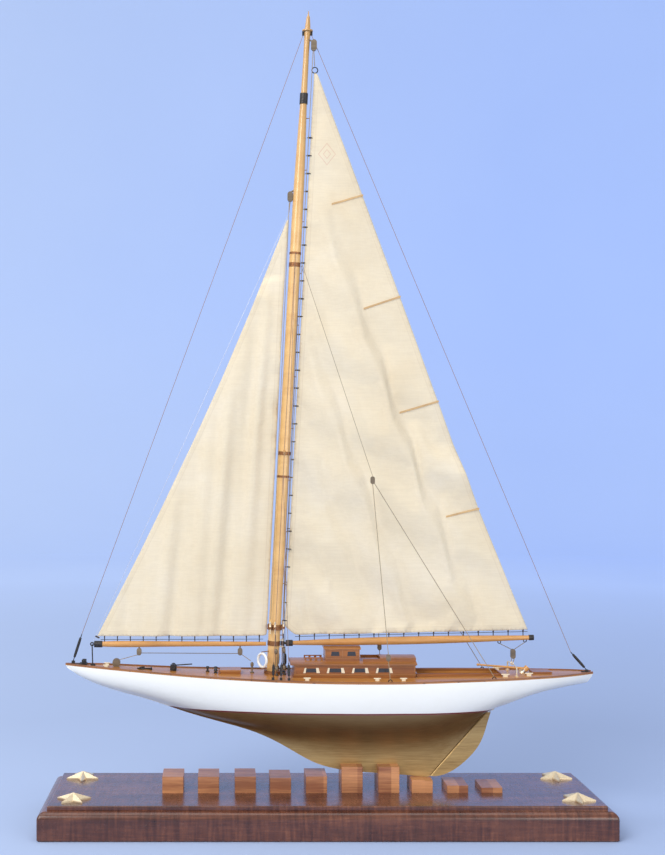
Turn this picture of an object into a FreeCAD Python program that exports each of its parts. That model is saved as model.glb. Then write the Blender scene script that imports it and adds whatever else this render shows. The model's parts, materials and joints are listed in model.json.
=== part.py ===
"""Model of a classic metre-class racing sloop on its display base.

Millimetres, +Z up, bow towards -X, stern towards +X, port side towards -Y.
The origin is the middle of the display base's underside.
"""
import FreeCAD, Part
import math
import os

V = FreeCAD.Vector

# ---------------------------------------------------------------- driving sizes
BASE_LENGTH = 644.0
BASE_WIDTH = 174.0
BASE_HEIGHT = 37.0
BASE_INSET = 10.5
SHOULDER_HEIGHT = 32.0
STAR_RADIUS = 20.0
STAR_RISE = 8.5
STAR_X = 285.0
STAR_Y = 50.0
BLOCK_LENGTH = 24.4
BLOCK_WIDTH = 40.0
DECK_EDGE = 1.0
DECK_SEAM = 0.02
CROWN = 0.05
RAIL_HEIGHT = 1.6
RAIL_WIDTH = 1.6
HULL_WALL = 3.0
WIRE = 0.3
ROPE = 0.4
SAIL_HALF = 0.3
RUNNING_GAP = 0.08

# keel x, keel z, keel half thickness, canoe-body z, sheer x, sheer half breadth, sheer z
STATIONS = [
    (-297.5, 178.6, 0.8, 179.0, -300.0, 0.9, 181.5),
    (-288.0, 170.8, 0.8, 171.6, -288.0, 5.6, 180.8),
    (-268.0, 160.2, 0.9, 161.4, -265.0, 12.8, 179.6),
    (-238.0, 151.0, 1.0, 152.6, -235.0, 18.2, 177.5),
    (-200.0, 141.6, 1.2, 143.6, -198.0, 23.6, 174.9),
    (-160.0, 126.6, 1.6, 130.0, -158.0, 29.6, 172.3),
    (-118.0, 115.4, 2.0, 119.0, -116.0, 36.6, 170.4),
    (-76.0, 104.4, 2.6, 110.0, -72.0, 43.4, 169.2),
    (-40.0, 86.0, 3.0, 104.0, -28.0, 48.0, 168.0),
    (-8.0, 65.0, 3.2, 100.0, 16.0, 50.2, 167.5),
    (34.0, 57.4, 3.2, 98.0, 60.0, 51.0, 167.3),
    (84.0, 55.2, 3.2, 99.0, 98.0, 49.8, 167.5),
    (118.0, 51.8, 3.0, 102.0, 128.0, 47.4, 168.0),
    (124.8, 51.0, 2.8, 106.0, 150.0, 45.2, 168.5),
    (127.4, 56.2, 2.6, 110.0, 170.0, 43.0, 168.8),
    (152.0, 84.0, 2.6, 117.0, 188.0, 40.6, 169.0),
    (178.0, 113.4, 2.4, 124.0, 206.0, 38.0, 169.3),
    (192.5, 129.0, 1.6, 131.2, 222.0, 35.4, 169.6),
    (206.0, 132.6, 1.2, 134.2, 238.0, 32.4, 170.0),
    (236.0, 145.4, 1.0, 146.8, 260.0, 27.8, 170.4),
    (268.0, 153.4, 0.9, 154.6, 284.0, 21.0, 171.2),
    (294.0, 158.2, 0.8, 159.2, 304.0, 12.6, 171.9),
    (308.6, 161.2, 0.8, 162.0, 315.2, 5.4, 172.2),
]

# keel block centres along the base and their heights where the keel leaves them low
BLOCKS = [
    (-173.9, 18.7), (-132.7, 18.7), (-90.1, 18.9), (-49.5, 17.3), (-8.0, 19.0),
    (33.1, 30.0), (75.5, 30.0), (114.0, 15.1), (154.9, 8.5), (194.4, 6.1),
]
SCREW_X = (33.1, 75.5)

# ---------------------------------------------------------------- axes and lines
MAST_LEAN = 0.05505
MAST_FOOT_Z = 118.0
MAST_TOP_Z = 922.0
MAST_RADII = [(118, 6.6), (205, 7.0), (400, 7.0), (600, 6.6), (748, 6.1), (800, 5.0), (835, 4.1), (922, 3.7)]
LUFF_LEAN = 0.052
RUDDER_HALF = 2.4
RUDDER_DIRECTION = V(0.662, 0, 0.7495)
RUDDER_START = V(128.7, 0, 53.2)
JIB_PIVOT = V(-269.0, 0, 206.0)
JIB_HEAD = V(-41.5, 0, 703.0)


def mast_x(z):
    """Centre of the mast at height z."""
    return -56.7 + (z - 205.0) * MAST_LEAN


def luff_x(z):
    """The jackstay, which is the axis that the main boom and mainsail turn about."""
    return -46.6 + (z - 205.0) * LUFF_LEAN


def rudder_point(z):
    """Point of the rudder's axis at height z."""
    run = (z - RUDDER_START.z) / RUDDER_DIRECTION.z
    return RUDDER_START + RUDDER_DIRECTION * run


def jib_luff_x(z):
    run = (z - JIB_PIVOT.z) / (JIB_HEAD.z - JIB_PIVOT.z)
    return JIB_PIVOT.x + run * (JIB_HEAD.x - JIB_PIVOT.x)


def jackstay_posts():
    """Heights of the short posts that hold the jackstay off the mast."""
    return [216.5 + 60.4 * i for i in range(11)]


def between(table, x):
    """Straight-line reading of a table of (x, value) pairs."""
    for (x0, v0), (x1, v1) in zip(table, table[1:]):
        if x <= x1:
            return v0 + (v1 - v0) * (x - x0) / (x1 - x0)
    return table[-1][1]


def sheer_z(x):
    return between([(s[4], s[6]) for s in STATIONS], x)


def sheer_half(x):
    return between([(s[4], s[5]) for s in STATIONS], x)


def deck_z(x, y=0.0):
    """Height of the deck's top, near enough to seat a fitting that is then cut to it."""
    half = sheer_half(x)
    return sheer_z(x) + DECK_EDGE + CROWN * half * (1.0 - (y / half) ** 2)


# ---------------------------------------------------------------- shape helpers
def box(x0, x1, y0, y1, z0, z1):
    return Part.makeBox(x1 - x0, y1 - y0, z1 - z0, V(x0, y0, z0))


def rod(start, end, radius, end_radius=None):
    """Round bar between two points, tapered when end_radius is given."""
    along = end - start
    if end_radius is None or abs(end_radius - radius) < 1e-9:
        return Part.makeCylinder(radius, along.Length, start, along)
    return Part.makeCone(radius, end_radius, along.Length, start, along)


def ring(centre, axis, tube_centre_radius, tube_radius):
    return Part.makeTorus(tube_centre_radius, tube_radius, centre, axis)


def sleeve(start, end, outer, inner):
    """Tube between two points, cut with a longer bore."""
    step = (end - start) * 0.2
    return rod(start, end, outer).cut(rod(start - step, end + step, inner))


def side_prism(points, y0, y1):
    """Straight-edged outline in X and Z, extruded from y0 to y1."""
    wire = Part.makePolygon([V(x, y0, z) for x, z in points + points[:1]])
    return Part.Face(wire).extrude(V(0, y1 - y0, 0))


def plan_prism(points, z0, z1):
    """Straight-edged outline in X and Y, extruded from z0 to z1."""
    wire = Part.makePolygon([V(x, y, z0) for x, y in points + points[:1]])
    return Part.Face(wire).extrude(V(0, 0, z1 - z0))


def arched(x0, x1, half, z0, edge_z, crown_z):
    """Bar along X with a flat underside and an arched top."""
    side = Part.makePolygon([V(x0, half, edge_z), V(x0, half, z0), V(x0, -half, z0), V(x0, -half, edge_z)])
    top = Part.Arc(V(x0, -half, edge_z), V(x0, 0, crown_z), V(x0, half, edge_z)).toShape()
    return Part.Face(Part.Wire(side.Edges + [top])).extrude(V(x1 - x0, 0, 0))


def frame_box(x0, x1, half, wall, z0, z1):
    """Four upright walls round a rectangle."""
    inner = box(x0 + wall, x1 - wall, wall - half, half - wall, z0 - 1, z1 + 1)
    return box(x0, x1, -half, half, z0, z1).cut(inner)


def turned(start, direction, profile):
    """Solid turned about a line; profile lists (distance along the line, radius)."""
    axis = V(direction).normalize()
    points = [V(0, 0, profile[0][0])] + [V(r, 0, s) for s, r in profile] + [V(0, 0, profile[-1][0])]
    face = Part.Face(Part.makePolygon(points + points[:1]))
    solid = face.revolve(V(0, 0, 0), V(0, 0, 1), 360)
    solid.Placement = FreeCAD.Placement(start, FreeCAD.Rotation(V(0, 0, 1), axis))
    return solid


def spar(start, end, profile, count=24):
    """Turned spar whose radius follows a smooth curve through (fraction, radius) points."""
    axis = end - start
    curve = Part.BSplineCurve()
    curve.interpolate([V(r, 0, f * axis.Length) for f, r in profile])
    low = V(0, 0, profile[0][0] * axis.Length)
    high = V(0, 0, profile[-1][0] * axis.Length)
    edge = curve.toShape()
    first = Part.makeLine(low, edge.valueAt(edge.FirstParameter))
    last = Part.makeLine(edge.valueAt(edge.LastParameter), high)
    face = Part.Face(Part.Wire([first, edge, last, Part.makeLine(high, low)]))
    solid = face.revolve(V(0, 0, 0), V(0, 0, 1), 360)
    solid.Placement = FreeCAD.Placement(start, FreeCAD.Rotation(V(0, 0, 1), axis))
    return solid


def pulley(x, y, z, height, width, thick):
    """Oval rigging block, its sheave turning about Y."""
    r = width / 2.0
    rise = height / 2.0 - r
    middle = box(x - r, x + r, y - thick / 2, y + thick / 2, z - rise, z + rise)
    across = V(0, 1, 0)
    top = Part.makeCylinder(r, thick, V(x, y - thick / 2, z + rise), across)
    low = Part.makeCylinder(r, thick, V(x, y - thick / 2, z - rise), across)
    return middle.fuse([top, low]).removeSplitter()


def mirrored(shape):
    return shape.mirror(V(0, 0, 0), V(0, 1, 0))


def pair(shape):
    return group([shape, mirrored(shape)])


def solids_of(items):
    found = []
    for item in items:
        found.extend(item.Solids)
    return found


def group(items):
    solids = solids_of(items)
    return solids[0] if len(solids) == 1 else Part.makeCompound(solids)


def lowest(shape):
    return min(shape.Solids, key=lambda s: s.BoundBox.ZMin)


def largest(shape):
    return max(shape.Solids, key=lambda s: s.Volume)


def one(items):
    """Several touching solids joined into one piece."""
    joined = items[0].fuse(items[1:])
    return joined.removeSplitter()


# ---------------------------------------------------------------- hull form
def knots(count, degree):
    """Clamped even knots for a spline of count poles, with their multiplicities."""
    spans = count - degree
    values = [float(i) for i in range(spans + 1)]
    mults = [degree + 1] + [1] * (spans - 1) + [degree + 1]
    return mults, values


def spline_edge(poles):
    mults, values = knots(len(poles), 3)
    curve = Part.BSplineCurve()
    curve.buildFromPolesMultsKnots(poles, mults, values, False, 3)
    return curve.toShape()


def spline_face(rows, cross_degree=3):
    """Face whose first direction runs along the rows and whose second runs across them."""
    grid = [list(column) for column in zip(*rows)]
    u_mults, u_knots = knots(len(grid), 3)
    v_mults, v_knots = knots(len(rows), cross_degree)
    surface = Part.BSplineSurface()
    surface.buildFromPolesMultsKnots(
        grid, u_mults, v_mults, u_knots, v_knots, False, False, 3, cross_degree)
    return surface.toShape()


def closed_solid(faces):
    shell = Part.Shell(faces)
    shell.sewShape()
    solid = Part.Solid(shell)
    if solid.Volume < 0:
        solid.reverse()
    return solid


def section(station, side):
    """Control points of one wineglass section, keel to sheer, on one side."""
    keel_x, keel_z, keel_half, canoe_z, top_x, half, top_z = station
    fin = canoe_z - keel_z
    body = top_z - canoe_z
    root = keel_half + 0.6
    shape = [
        (keel_half, keel_z),
        (max(root, 0.05 * half), keel_z + 0.40 * fin),
        (max(root + 1.2, 0.14 * half), keel_z + 0.82 * fin),
        (root + 0.34 * half, canoe_z + 0.05 * body),
        (0.84 * half, canoe_z + 0.24 * body),
        (1.045 * half, canoe_z + 0.62 * body),
        (half, top_z),
    ]
    points = []
    for y, z in shape:
        x = keel_x + (top_x - keel_x) * (z - keel_z) / (top_z - keel_z)
        points.append(V(x, side * y, z))
    return points


def skin(stations, side):
    columns = [section(s, side) for s in stations]
    return [list(row) for row in zip(*columns)]


def hull_form(stations):
    """Closed form from keel to sheer, flat across the top."""
    port = skin(stations, -1)
    starboard = skin(stations, 1)
    faces = [spline_face(port), spline_face(starboard)]
    for row in (0, -1):
        faces.append(Part.makeRuledSurface(spline_edge(port[row]), spline_edge(starboard[row])))
    for end in (0, -1):
        left = [row[end] for row in port]
        right = [row[end] for row in starboard]
        edges = [spline_edge(left), Part.makeLine(left[-1], right[-1]),
                 spline_edge(right), Part.makeLine(left[0], right[0])]
        faces.append(Part.Face(Part.Wire(Part.__sortEdges__(edges))))
    return closed_solid(faces)


def hollow_stations():
    """Stations of the space inside the hull, above the solid keel and out through the top."""
    inner = []
    for keel_x, keel_z, keel_half, canoe_z, top_x, half, top_z in STATIONS[2:-2]:
        floor = canoe_z + 2.2 * HULL_WALL
        mid_x = keel_x + (top_x - keel_x) * 0.6
        inner.append((mid_x, floor - 1.0, 0.5, floor, top_x, half - 1.15 * HULL_WALL, top_z + 3.0))
    return inner


def deck_form(drop):
    """Crowned deck; its underside is drop below the sheer at the edges, or above it when negative."""
    def row(y_sign, rise):
        return [V(s[4], y_sign * s[5], s[6] + rise) for s in STATIONS]
    centre = [V(s[4], 0, s[6] + DECK_EDGE + 2 * CROWN * s[5]) for s in STATIONS]
    top_port, top_star = row(-1, DECK_EDGE), row(1, DECK_EDGE)
    low_port, low_star = row(-1, -drop), row(1, -drop)
    faces = [spline_face([top_port, centre, top_star], 2)]
    faces.append(Part.makeRuledSurface(spline_edge(low_port), spline_edge(low_star)))
    faces.append(Part.makeRuledSurface(spline_edge(low_port), spline_edge(top_port)))
    faces.append(Part.makeRuledSurface(spline_edge(low_star), spline_edge(top_star)))
    for end in (0, -1):
        arc = Part.BezierCurve()
        arc.setPoles([top_port[end], centre[end], top_star[end]])
        edges = [arc.toShape(), Part.makeLine(top_star[end], low_star[end]),
                 Part.makeLine(low_star[end], low_port[end]), Part.makeLine(low_port[end], top_port[end])]
        faces.append(Part.Face(Part.Wire(edges)))
    return closed_solid(faces)


def rail_form():
    """Starboard toe rail, a strip along the sheer."""
    def row(inset, rise):
        return [V(s[4], max(s[5] - inset, 0.12 + 0.1 * (RAIL_WIDTH - inset)), s[6] + rise)
                for s in STATIONS]
    corners = [row(0.1, 0.6), row(0.1, DECK_EDGE + RAIL_HEIGHT),
               row(RAIL_WIDTH, DECK_EDGE + RAIL_HEIGHT), row(RAIL_WIDTH, 0.6)]
    edges = [spline_edge(c) for c in corners]
    faces = [Part.makeRuledSurface(edges[i], edges[(i + 1) % 4]) for i in range(4)]
    for end in (0, -1):
        loop = [c[end] for c in corners]
        faces.append(Part.Face(Part.makePolygon(loop + loop[:1])))
    return closed_solid(faces)


HULL = hull_form(STATIONS)
HOLLOW = hull_form(hollow_stations())
# The deck beds on a thin seam above the sheer, so that it and the hull never share a face.
DECK = deck_form(-DECK_SEAM)
UNDER_DECK = deck_form(40.0)
nodes = {}


def on_deck(shape):
    return shape.cut(UNDER_DECK)


# ---------------------------------------------------------------- display base
def base_board():
    half_x, half_y = BASE_LENGTH / 2, BASE_WIDTH / 2
    top_x, top_y = half_x - BASE_INSET, half_y - BASE_INSET
    foot = box(-half_x, half_x, -half_y, half_y, 0, SHOULDER_HEIGHT)
    upright = [e for e in foot.Edges if e.BoundBox.ZLength > 1]
    foot = foot.makeFillet(2.5, upright)
    rim = [e for e in foot.Edges if abs(e.BoundBox.ZMin - SHOULDER_HEIGHT) < 1e-6]
    foot = foot.makeFillet(BASE_INSET * 0.8, rim)
    low = [e for e in foot.Edges if e.BoundBox.ZMax < 1e-6]
    foot = foot.makeChamfer(1.6, low)
    upper = box(-top_x, top_x, -top_y, top_y, 15.0, BASE_HEIGHT)
    rim = [e for e in upper.Edges if abs(e.BoundBox.ZMin - BASE_HEIGHT) < 1e-6]
    upper = upper.makeFillet(1.6, rim)
    board = foot.fuse(upper)
    for x in SCREW_X:
        board = board.cut(rod(V(x, 0, -1), V(x, 0, BASE_HEIGHT + 1), 2.3))
        board = board.cut(rod(V(x, 0, -1), V(x, 0, 4.0), 5.0))
    return board


def star(x, y, point_angle):
    """Five-pointed star standing on a thin plate, each arm ridged to the middle."""
    inner = STAR_RADIUS * 0.40
    outline = []
    for i in range(10):
        r = STAR_RADIUS if i % 2 == 0 else inner
        a = math.radians(point_angle + 36 * i)
        outline.append((x + r * math.cos(a), y + r * math.sin(a)))
    plate_top = BASE_HEIGHT + 1.5
    solid = plan_prism(outline, BASE_HEIGHT, plate_top)
    apex = V(x, y, BASE_HEIGHT + STAR_RISE)
    rim = [V(px, py, plate_top) for px, py in outline]
    faces = [Part.Face(Part.makePolygon(rim + rim[:1]))]
    for a, b in zip(rim, rim[1:] + rim[:1]):
        faces.append(Part.Face(Part.makePolygon([a, b, apex, a])))
    return one([solid, closed_solid(faces)])


def stand():
    nodes["display_base"] = base_board()
    nodes["corner_stars"] = group([
        star(-STAR_X, -STAR_Y, 90), star(STAR_X, -STAR_Y, -90),
        star(-STAR_X, STAR_Y, -90), star(STAR_X, STAR_Y, -90)])
    blocks = []
    under_rudder = box(116.5, 170.0, -30, 30, 51.2, 80)
    for x, height in BLOCKS:
        block = box(x - BLOCK_LENGTH / 2, x + BLOCK_LENGTH / 2, -BLOCK_WIDTH / 2, BLOCK_WIDTH / 2,
                    BASE_HEIGHT, BASE_HEIGHT + height)
        upright = [e for e in block.Edges if e.BoundBox.ZLength > 1]
        block = block.makeFillet(0.8, upright).cut(HULL)
        if x in SCREW_X:
            block = block.cut(rod(V(x, 0, 30), V(x, 0, 90), 2.3))
        blocks.append(largest(block.cut(under_rudder)))
    nodes["keel_blocks"] = group(blocks)
    screws = []
    for x in SCREW_X:
        screws.append(turned(V(x, 0, 0.6), V(0, 0, 1),
                             [(0, 4.2), (1.2, 4.2), (3.3, 2.0), (64.0, 2.0), (70.0, 0.3)]))
    nodes["hold_down_screws"] = group(screws)


# ---------------------------------------------------------------- hull, deck and inside
COCKPIT = (107.0, 205.0, 18.0)
WELL_FLOOR = 157.0
FORE_HATCH = (-119.5, -95.0, 12.0)
CABIN = (-33.8, 105.6, 23.0)
SILL_TOP = 173.2


def hull_and_deck():
    tube_low, tube_high = rudder_point(128.0), rudder_point(176.0)
    shell = HULL.cut(HOLLOW)
    shell = shell.cut(rod(tube_low - RUDDER_DIRECTION * 8, tube_high, 3.1))
    shell = shell.cut(rod(rudder_point(46.0), rudder_point(129.0), RUDDER_HALF + 0.6))
    shell = shell.cut(nodes["hold_down_screws"])
    nodes["hull_shell"] = largest(shell)
    x0, x1, half = COCKPIT
    mast_low, mast_high = V(mast_x(150), 0, 150), V(mast_x(190), 0, 190)
    hx0, hx1, hhalf = FORE_HATCH
    openings = [
        box(x0, x1, -half, half, 150, 190),
        rod(mast_low, mast_high, 7.6),
        box(hx0 + 2, hx1 - 2, 2 - hhalf, hhalf - 2, 150, 190),
        box(CABIN[0] + 5, CABIN[1] - 8, -18, 18, 150, 190),
        rod(tube_low, tube_high, 3.1),
    ]
    deck = DECK
    for opening in openings:
        deck = deck.cut(opening)
    # The deck is laid in lengths that meet at the ends of its openings.
    joins = [-400.0, hx0 + 2, hx1 - 2, CABIN[0] + 5, CABIN[1] - 8, x0, x1, 400.0]
    lengths = [deck.common(box(a, b, -80, 80, 100, 260)) for a, b in zip(joins, joins[1:])]
    nodes["deck"] = group(lengths)
    rail = rail_form().cut(DECK)
    rail = largest(rail)
    nodes["toe_rails"] = pair(rail)
    beams = []
    for x in (-230.0, -185.0, -145.0, -80.0, -42.0, 101.0, 213.0, 246.0, 272.0):
        beam = box(x - 1.5, x + 1.5, -60, 60, sheer_z(x) - 6.0, sheer_z(x) + 0.5)
        beam = beam.common(HOLLOW).cut(DECK)
        beams.append(lowest(beam))
    foot_x = mast_x(MAST_FOOT_Z)
    step = box(foot_x - 16, foot_x + 16, -9, 9, 100, MAST_FOOT_Z + 6).common(HOLLOW)
    step = step.cut(rod(V(foot_x, 0, MAST_FOOT_Z), V(mast_x(140), 0, 140), 6.7))
    nodes["inner_timbers"] = group(beams + [step])
    well = box(x0, x1, -half, half, WELL_FLOOR, 169.5)
    nodes["cockpit_well"] = well.cut(
        box(x0 + 1.2, x1 - 1.2, 1.2 - half, half - 1.2, WELL_FLOOR + 1.2, 180))
    coaming = on_deck(frame_box(x0 + 0.2, x1 + 1.5, half + 1.5, 1.5, 160, 174.5))
    sill = on_deck(frame_box(CABIN[0] - 2.0, CABIN[1], CABIN[2] + 2.0, 4.5, 160, SILL_TOP))
    nodes["cabin_sill_and_coaming"] = group([coaming, sill])
    slats = []
    for i in range(9):
        y = -14.4 + 3.6 * i
        slats.append(box(x0 + 3, x1 - 3, y - 1.2, y + 1.2, WELL_FLOOR + 1.2, WELL_FLOOR + 2.4))
    nodes["cockpit_sole"] = group(slats)


# ---------------------------------------------------------------- cabin and hatches
WALL_TOP = 185.0
EAVE_TOP = 186.3
ROOF_CROWN = 189.3
HOUSE = (2.5, 42.1, 15.0)
HOUSE_TOP = 202.0
CABIN_WINDOWS = [(-22.7, -5.1), (4.2, 23.7), (33.0, 51.3), (60.6, 78.8)]
HOUSE_WINDOWS = [(9.0, 19.1), (27.9, 38.0)]
HATCH = (66.0, 107.5, 15.0)
HATCH_TRAVEL = 18.0


def window_shapes(spans, z0, z1, half, slope, wall):
    """Pane, light-coloured end pieces and opening of each trapezoid window on the starboard side."""
    panes, frames, holes = [], [], []
    for x0, x1 in spans:
        pane = [(x0, z0), (x1, z0), (x1 - slope, z1), (x0 + slope, z1)]
        rim = [(x0 - 0.8, z0 - 0.7), (x1 + 0.8, z0 - 0.7),
               (x1 - slope + 0.8, z1 + 0.7), (x0 + slope - 0.8, z1 + 0.7)]
        hole = side_prism(pane, half - wall - 1, half + 1)
        holes.append(hole)
        panes.append(side_prism(pane, half - wall, half - 0.3))
        middle = side_prism([(x0 + 1.6, z0 - 2), (x1 - 3.0, z0 - 2), (x1 - slope - 2.4, z1 + 2),
                             (x0 + slope + 1.4, z1 + 2)], half - 1, half + 1)
        frames.append(side_prism(rim, half, half + 0.4).cut(middle))
    return panes, frames, holes


def cabin():
    x0, x1, half = CABIN
    walls = frame_box(x0, x1, half, 1.5, SILL_TOP, WALL_TOP)
    panes, frames, holes = window_shapes(CABIN_WINDOWS, 176.6, 181.2, half, 1.6, 1.5)
    door = box(x1 - 3, x1 + 3, -6.5, 6.5, SILL_TOP + 1.5, WALL_TOP + 1)
    for hole in holes:
        walls = walls.cut(hole).cut(mirrored(hole))
    nodes["cabin_walls"] = walls.cut(door)
    door_panel = box(x1 - 1.2, x1 - 0.4, -6.5, 6.5, SILL_TOP + 1.5, WALL_TOP - 0.3)
    locker_lid = on_deck(box(244.0, 266.0, -10.0, 10.0, 160, deck_z(255) + 2.2))
    nodes["door_and_locker_lid"] = group([door_panel, locker_lid])
    roof = arched(x0 - 4.5, x1 + 2.0, half + 1.6, WALL_TOP, EAVE_TOP, ROOF_CROWN)
    under_roof = arched(x0 - 9, x1 + 9, half + 1.6, WALL_TOP - 6, EAVE_TOP, ROOF_CROWN)
    nodes["cabin_roof"] = roof.cut(box(HATCH[1] - 22, HATCH[1] - 4, -11, 11, 180, 200))
    hx0, hx1, hhalf = HOUSE
    house = frame_box(hx0, hx1, hhalf, 1.5, EAVE_TOP, HOUSE_TOP).cut(under_roof)
    more_panes, no_frames, holes = window_shapes(HOUSE_WINDOWS, 194.3, 199.4, hhalf, 0.7, 1.5)
    for hole in holes:
        house = house.cut(hole).cut(mirrored(hole))
    nodes["doghouse"] = house
    nodes["doghouse_roof"] = arched(
        hx0 - 1.6, hx1 + 1.6, hhalf + 1.4, HOUSE_TOP, HOUSE_TOP + 0.8, HOUSE_TOP + 2.2)
    nodes["window_panes"] = group([pair(p) for p in panes + more_panes])
    nodes["window_frames"] = group([pair(f) for f in frames])
    rails = []
    for y in (-9.0, 9.0):
        grip = box(-21.0, 0.0, y - 0.7, y + 0.7, 180, 192.0)
        for gap_x in (-17.5, -11.0, -4.5):
            grip = grip.cut(box(gap_x - 1.9, gap_x + 1.9, y - 1, y + 1, 180, 190.8))
        rails.append(grip.cut(under_roof))
    runner = box(46.0, x1 + 1.5, HATCH[2] + 0.3, HATCH[2] + 2.0, 180, 191.2).cut(under_roof)
    nodes["roof_rails"] = group(rails + [pair(runner)])
    lid = arched(HATCH[0], HATCH[1], HATCH[2], 189.6, 191.6, 193.4)
    underneath = arched(HATCH[0] - 5, HATCH[1] - 1.5, HATCH[2] - 1.5, 188, 190.2, 191.9)
    nodes["companion_hatch"] = lid.cut(underneath)
    hx0, hx1, hhalf = FORE_HATCH
    top = deck_z(hx0, 0) + 2.0
    curb = on_deck(frame_box(hx0 + 0.5, hx1 - 0.5, hhalf - 0.5, 1.5, 160, top))
    lid = box(hx0, hx1, -hhalf, hhalf, top + 0.1, top + 2.1)
    lid = lid.makeFillet(0.7, [e for e in lid.Edges if e.BoundBox.ZMin > top + 2.0])
    pin_at = V(hx0 - 1.0, 5.0, top + 1.1)
    barrel = Part.makeCylinder(0.9, 6, pin_at, V(0, 1, 0))
    leaf = box(hx0 - 1.9, hx0 - 0.2, 5.0, 11.0, 160, top - 0.2)
    neck = box(hx0 - 1.8, hx0 - 0.6, 5.0, 11.0, top - 0.3, top + 1.0)
    hinge = on_deck(one([barrel, leaf, neck]).cut(curb))
    nodes["forehatch_curb"] = group([curb, pair(hinge)])
    nodes["forehatch_lid"] = lid


# ---------------------------------------------------------------- rudder and steering
def steering():
    start, along = RUDDER_START, RUDDER_DIRECTION
    turn = FreeCAD.Rotation(V(0, 0, 1), along)
    back, width = 62.0, RUDDER_HALF
    nose = Part.Arc(V(0, width, 0), V(-width, 0, 0), V(0, -width, 0)).toShape()
    sides = Part.makePolygon([V(0, -width, 0), V(back, -0.8, 0), V(back, 0.8, 0), V(0, width, 0)])
    lens = Part.Face(Part.Wire([nose] + sides.Edges)).extrude(V(0, 0, 120))
    lens.Placement = FreeCAD.Placement(start - along * 12, turn)
    trailing = [V(131.6, 0, 52.1), V(143.5, 0, 54.7), V(153.9, 0, 59.8), V(168.9, 0, 71.7),
                V(180.8, 0, 85.2), V(188.3, 0, 100.1), V(192.8, 0, 115.0), V(196.5, 0, 126.4)]
    curve = Part.BSplineCurve()
    curve.interpolate(trailing)
    edge = curve.toShape()
    low, high = V(118, 0, 52.4), V(190.0, 0, 127.2)
    closing = Part.makePolygon([trailing[-1], high, V(110, 0, 60), low, trailing[0]])
    outline = Part.Face(Part.Wire([edge] + closing.Edges))
    outline.translate(V(0, -6, 0))
    blade = lens.common(outline.extrude(V(0, 12, 0)))
    blade = largest(blade)
    stock_low, stock_high = rudder_point(108.0), rudder_point(178.6)
    stock = rod(stock_low, stock_high, 2.0)
    nodes["rudder_blade"] = blade.cut(stock)
    nodes["rudder_stock"] = stock
    nodes["rudder_tube"] = sleeve(rudder_point(130.5), rudder_point(173.4), 3.1, 2.0 + RUNNING_GAP)
    head = rudder_point(177.2)
    tip = V(182.0, 0, 182.0)
    cap = rod(rudder_point(175.4), rudder_point(179.4), 3.2)
    arm = rod(head + V(-1, 0, 0.2), tip, 1.5, 1.0)
    knob = Part.makeSphere(1.6, tip)
    nodes["tiller"] = one([cap, arm, knob]).cut(stock)


# ---------------------------------------------------------------- spars
def spars():
    foot = V(mast_x(MAST_FOOT_Z), 0, MAST_FOOT_Z)
    top = V(mast_x(MAST_TOP_Z), 0, MAST_TOP_Z)
    along = top - foot
    span = MAST_TOP_Z - MAST_FOOT_Z
    profile = [((z - MAST_FOOT_Z) / span, r) for z, r in MAST_RADII]
    nodes["mast"] = spar(foot, top, profile)
    truck_end = foot + along * ((946.0 - 118) / span)
    nodes["mast_truck"] = turned(top, truck_end - top, [
        (0, 6.3), (1.6, 6.3), (1.8, 3.4), (8, 3.0), (17, 2.0), (19, 0.9), (24, 0.4)])
    bands = []
    for z0, z1, grow in ((837.0, 849.5, 0.7), (661.2, 663.8, 0.5), (646.5, 651.5, 0.4),
                         (427.0, 431.0, 0.6), (400.6, 403.2, 0.5), (204.6, 210.2, 0.4)):
        r = between(MAST_RADII, (z0 + z1) / 2) + grow
        low = V(mast_x(z0), 0, z0)
        high = V(mast_x(z1), 0, z1)
        bands.append(rod(low, high, r).cut(nodes["mast"]))
    collar_z = deck_z(-58.0) + 3.2
    collar = rod(V(mast_x(160), 0, 160), V(mast_x(collar_z), 0, collar_z), 10.4, 9.6)
    collar = on_deck(collar).cut(rod(V(mast_x(150), 0, 150), V(mast_x(190), 0, 190), 7.6))
    nodes["mast_bands"] = group(bands + [collar])
    spider_low, spider_high = V(mast_x(223), 0, 223), V(mast_x(229), 0, 229)
    band = rod(spider_low, spider_high, 8.6).cut(nodes["mast"])
    pins = []
    for degrees in (30, 90, 120, -30, -90, -120):
        a = math.radians(degrees)
        centre = V(mast_x(226) + 11.2 * math.cos(a), 11.2 * math.sin(a), 226)
        arm = rod(V(mast_x(226) + 8.2 * math.cos(a), 8.2 * math.sin(a), 226), centre, 1.2)
        boss = rod(centre - V(0, 0, 1.3), centre + V(0, 0, 1.3), 1.9)
        hole = rod(centre - V(0, 0, 9), centre + V(0, 0, 9), 0.8)
        band = band.fuse([arm, boss]).cut(hole).cut(nodes["mast"])
        pins.append(turned(centre - V(0, 0, 7), V(0, 0, 1), [
            (0, 0.6), (0.6, 0.8), (8.3, 0.8), (8.3, 1.5), (9.4, 1.3), (11, 0.9), (13.5, 1.3), (14.5, 0.6)]))
    nodes["spider_band"] = band.removeSplitter()
    nodes["belaying_pins"] = group(pins)
    boards = []
    for sign in (-1, 1):
        root = V(mast_x(429), sign * 8.1, 429)
        end = V(mast_x(429) - 2.0, sign * 46.0, 432)
        boards.append(rod(root, end, 2.0, 1.4))
    nodes["spreaders"] = group(boards)
    wire = rod(V(luff_x(215), 0, 215), V(luff_x(822), 0, 822), WIRE)
    posts = []
    for z in jackstay_posts():
        post = rod(V(mast_x(z) + 2, 0, z), V(luff_x(z) + 0.3, 0, z), 0.5).cut(nodes["mast"])
        posts.append(post)
    nodes["mast_jackstay"] = one([wire] + posts)


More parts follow.
